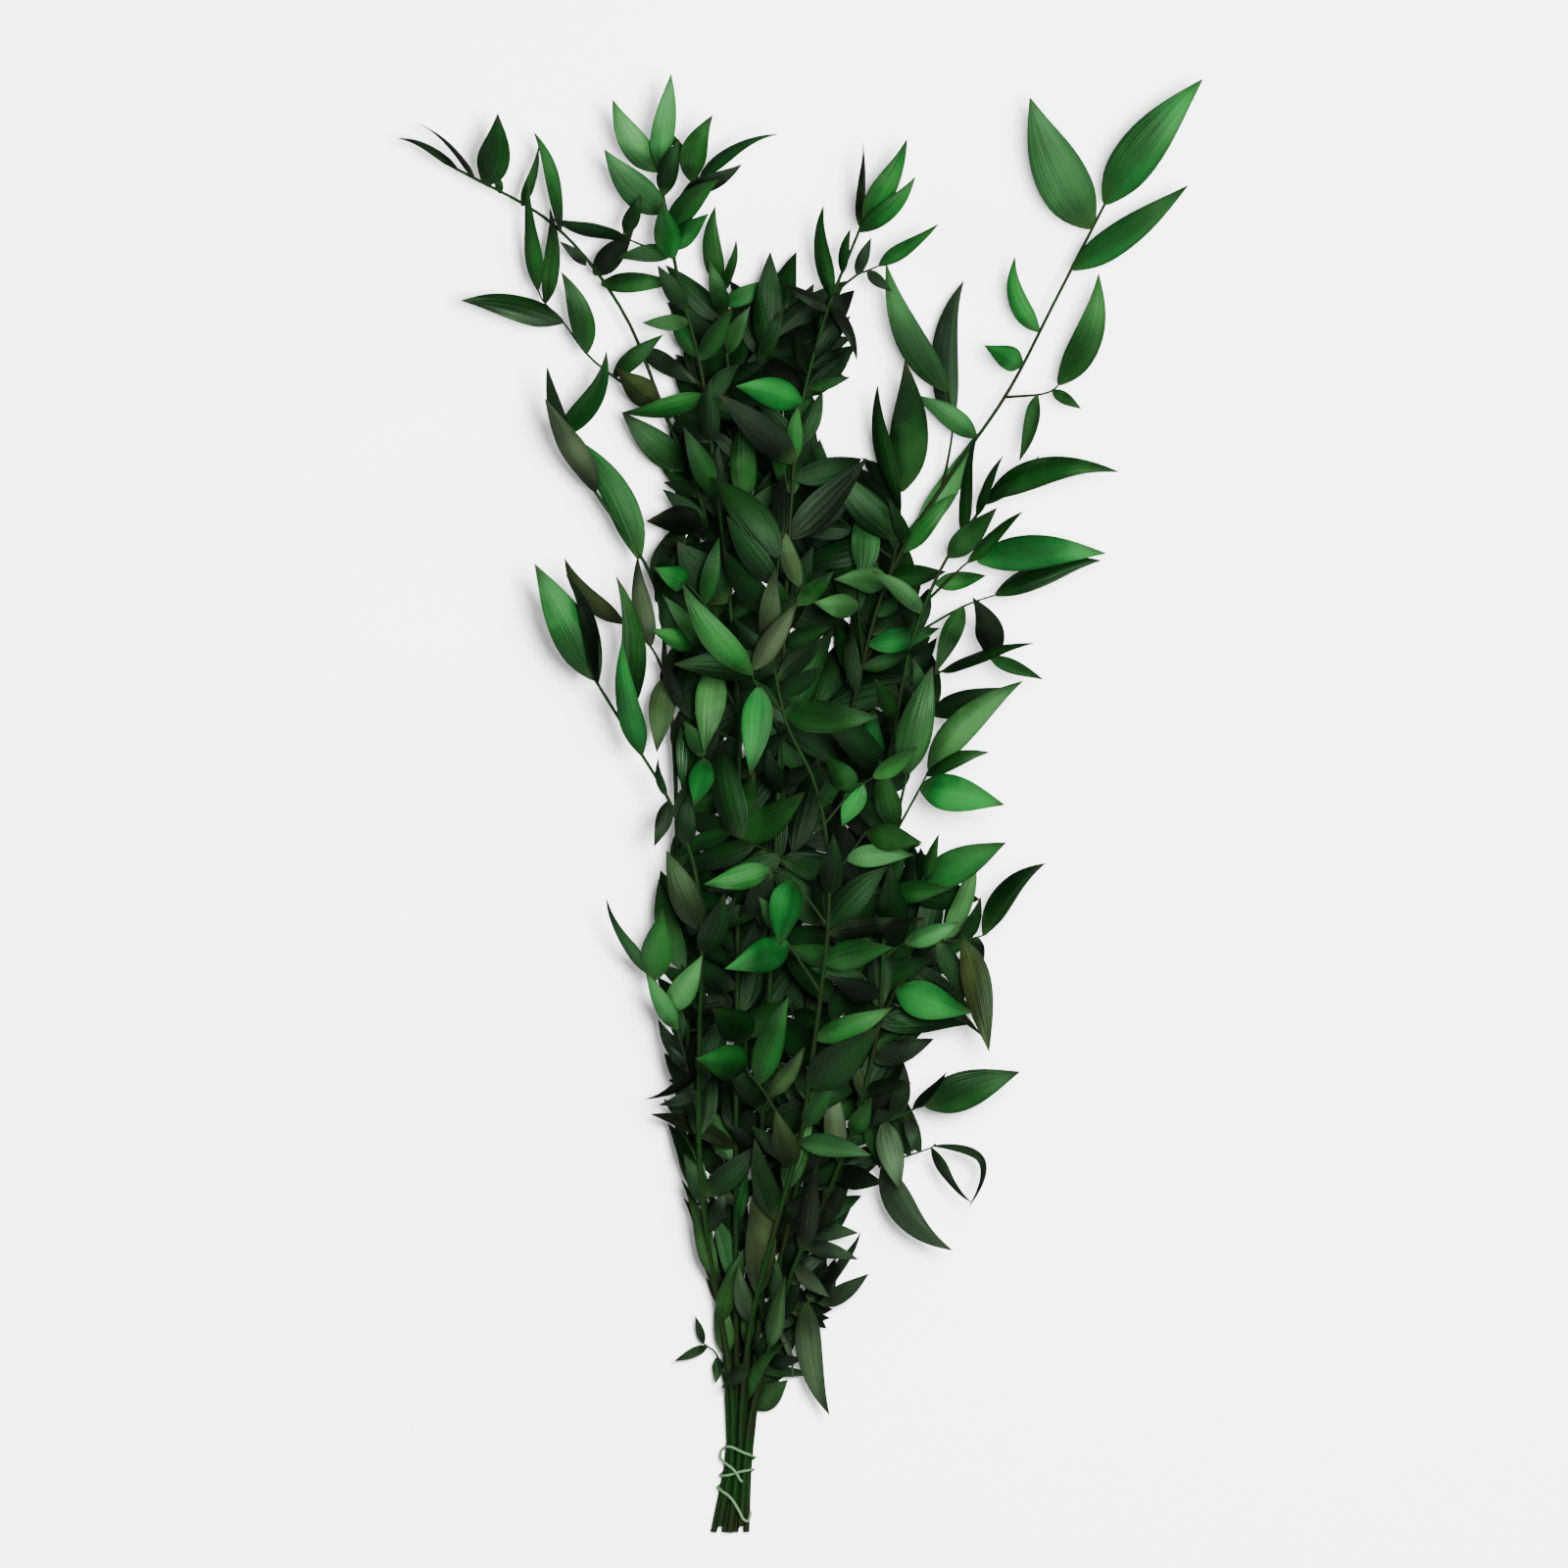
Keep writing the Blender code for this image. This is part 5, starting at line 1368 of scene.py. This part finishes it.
def string_material():
    string = Surface("string", Roughness=0.6, Specular_IOR_Level=0.35)
    place = string.node("TexCoord", "Object")
    ply = string.node("Mapping", "Vector", Vector=place, Rotation=(0.6, 0.5, 0.7),
                      Scale=(1500.0, 500.0, 900.0))
    strand = string.node("TexWave", "Fac", Vector=ply, Scale=1.0, Distortion=1.5)
    fuzz = string.noise(place, 3000.0)
    colour = string.blend(STRING_DARK, STRING_PALE, 0.6 * strand + 0.4 * fuzz)
    string.feed("Base Color", colour)
    string.feed("Roughness", 0.5 + 0.2 * fuzz)
    string.bump(strand + 0.5 * fuzz, 0.5, 0.00025)
    return string.material


def floor_material():
    return Surface("floor", Base_Color=FLOOR_COLOUR, Roughness=0.9, Specular_IOR_Level=0.1).material


# Floor, light and camera

FLOOR_SIZE = 12.0
VIEW_X = -1.9
VIEW_Y = 9.9
VIEW_HEIGHT = 6.0
VIEW_WIDTH = 0.752
VIEW_LEVEL = 0.06
SENSOR = 36.0
CAMERA_FAR = 50.0
SKY = 0.20

# Each light: name, place, size and power. The last one lights the floor alone.
LIGHTS = (
    ("key", (0.40, 0.20, 2.4), 0.7, 80.0),
    ("sheen", (1.5, 1.1, 1.6), 0.9, 40.0),
    ("fill", (-1.2, -1.3, 0.8), 1.6, 18.0),
    ("floor wash", (0.28, 0.13, 3.2), 0.45, 540.0),
)


def add_light(name, place, size, power):
    """A soft round light that points at the middle of the bunch."""
    data = bpy.data.lights.new(name, "AREA")
    data.shape = "DISK"
    data.size = size
    data.energy = power
    light = bpy.data.objects.new(name, data)
    light.location = place
    light.rotation_euler = (-Vector(place)).to_track_quat("-Z", "Y").to_euler()
    bpy.context.scene.collection.objects.link(light)
    return light


def build_floor():
    """A plain floor, which takes no part in bounced light, so that no pale glow reaches the leaves."""
    ground = bmesh.new()
    bmesh.ops.create_grid(ground, x_segments=1, y_segments=1, size=FLOOR_SIZE / 2.0)
    mesh = bpy.data.meshes.new("floor")
    ground.to_mesh(mesh)
    ground.free()
    mesh.materials.append(floor_material())
    floor = bpy.data.objects.new("floor", mesh)
    bpy.context.scene.collection.objects.link(floor)
    floor.visible_diffuse = False
    floor.visible_glossy = False
    return floor


def build_lights(floor):
    world = bpy.data.worlds.new("studio")
    world.use_nodes = True
    sky = world.node_tree.nodes["Background"]
    sky.inputs["Color"].default_value = (1.0, 1.0, 1.0, 1.0)
    sky.inputs["Strength"].default_value = SKY
    bpy.context.scene.world = world

    lights = [add_light(*light) for light in LIGHTS]
    washed = bpy.data.collections.new("washed")
    washed.objects.link(floor)
    lights[-1].light_linking.receiver_collection = washed


def build_camera():
    """A long lens straight above, as in the photo."""
    centre = to_world(Vector((VIEW_X, VIEW_Y, 0.0)))
    data = bpy.data.cameras.new("camera")
    data.sensor_width = SENSOR
    data.lens = SENSOR * (VIEW_HEIGHT - VIEW_LEVEL) / VIEW_WIDTH
    data.clip_end = CAMERA_FAR
    camera = bpy.data.objects.new("camera", data)
    camera.location = (centre.x, centre.y, VIEW_HEIGHT)
    bpy.context.scene.collection.objects.link(camera)
    bpy.context.scene.camera = camera


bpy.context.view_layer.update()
build_lights(build_floor())
build_camera()
layout = Layout()
plate = fine_plate()
leaf_look = leaf_material()
twig_look = twig_material()
for stem_name in STEM_PLACES:
    fine_leaves(stem_name, layout, plate, leaf_look)
    fine_stem(stem_name, layout, twig_look)
fine_string(layout, string_material())
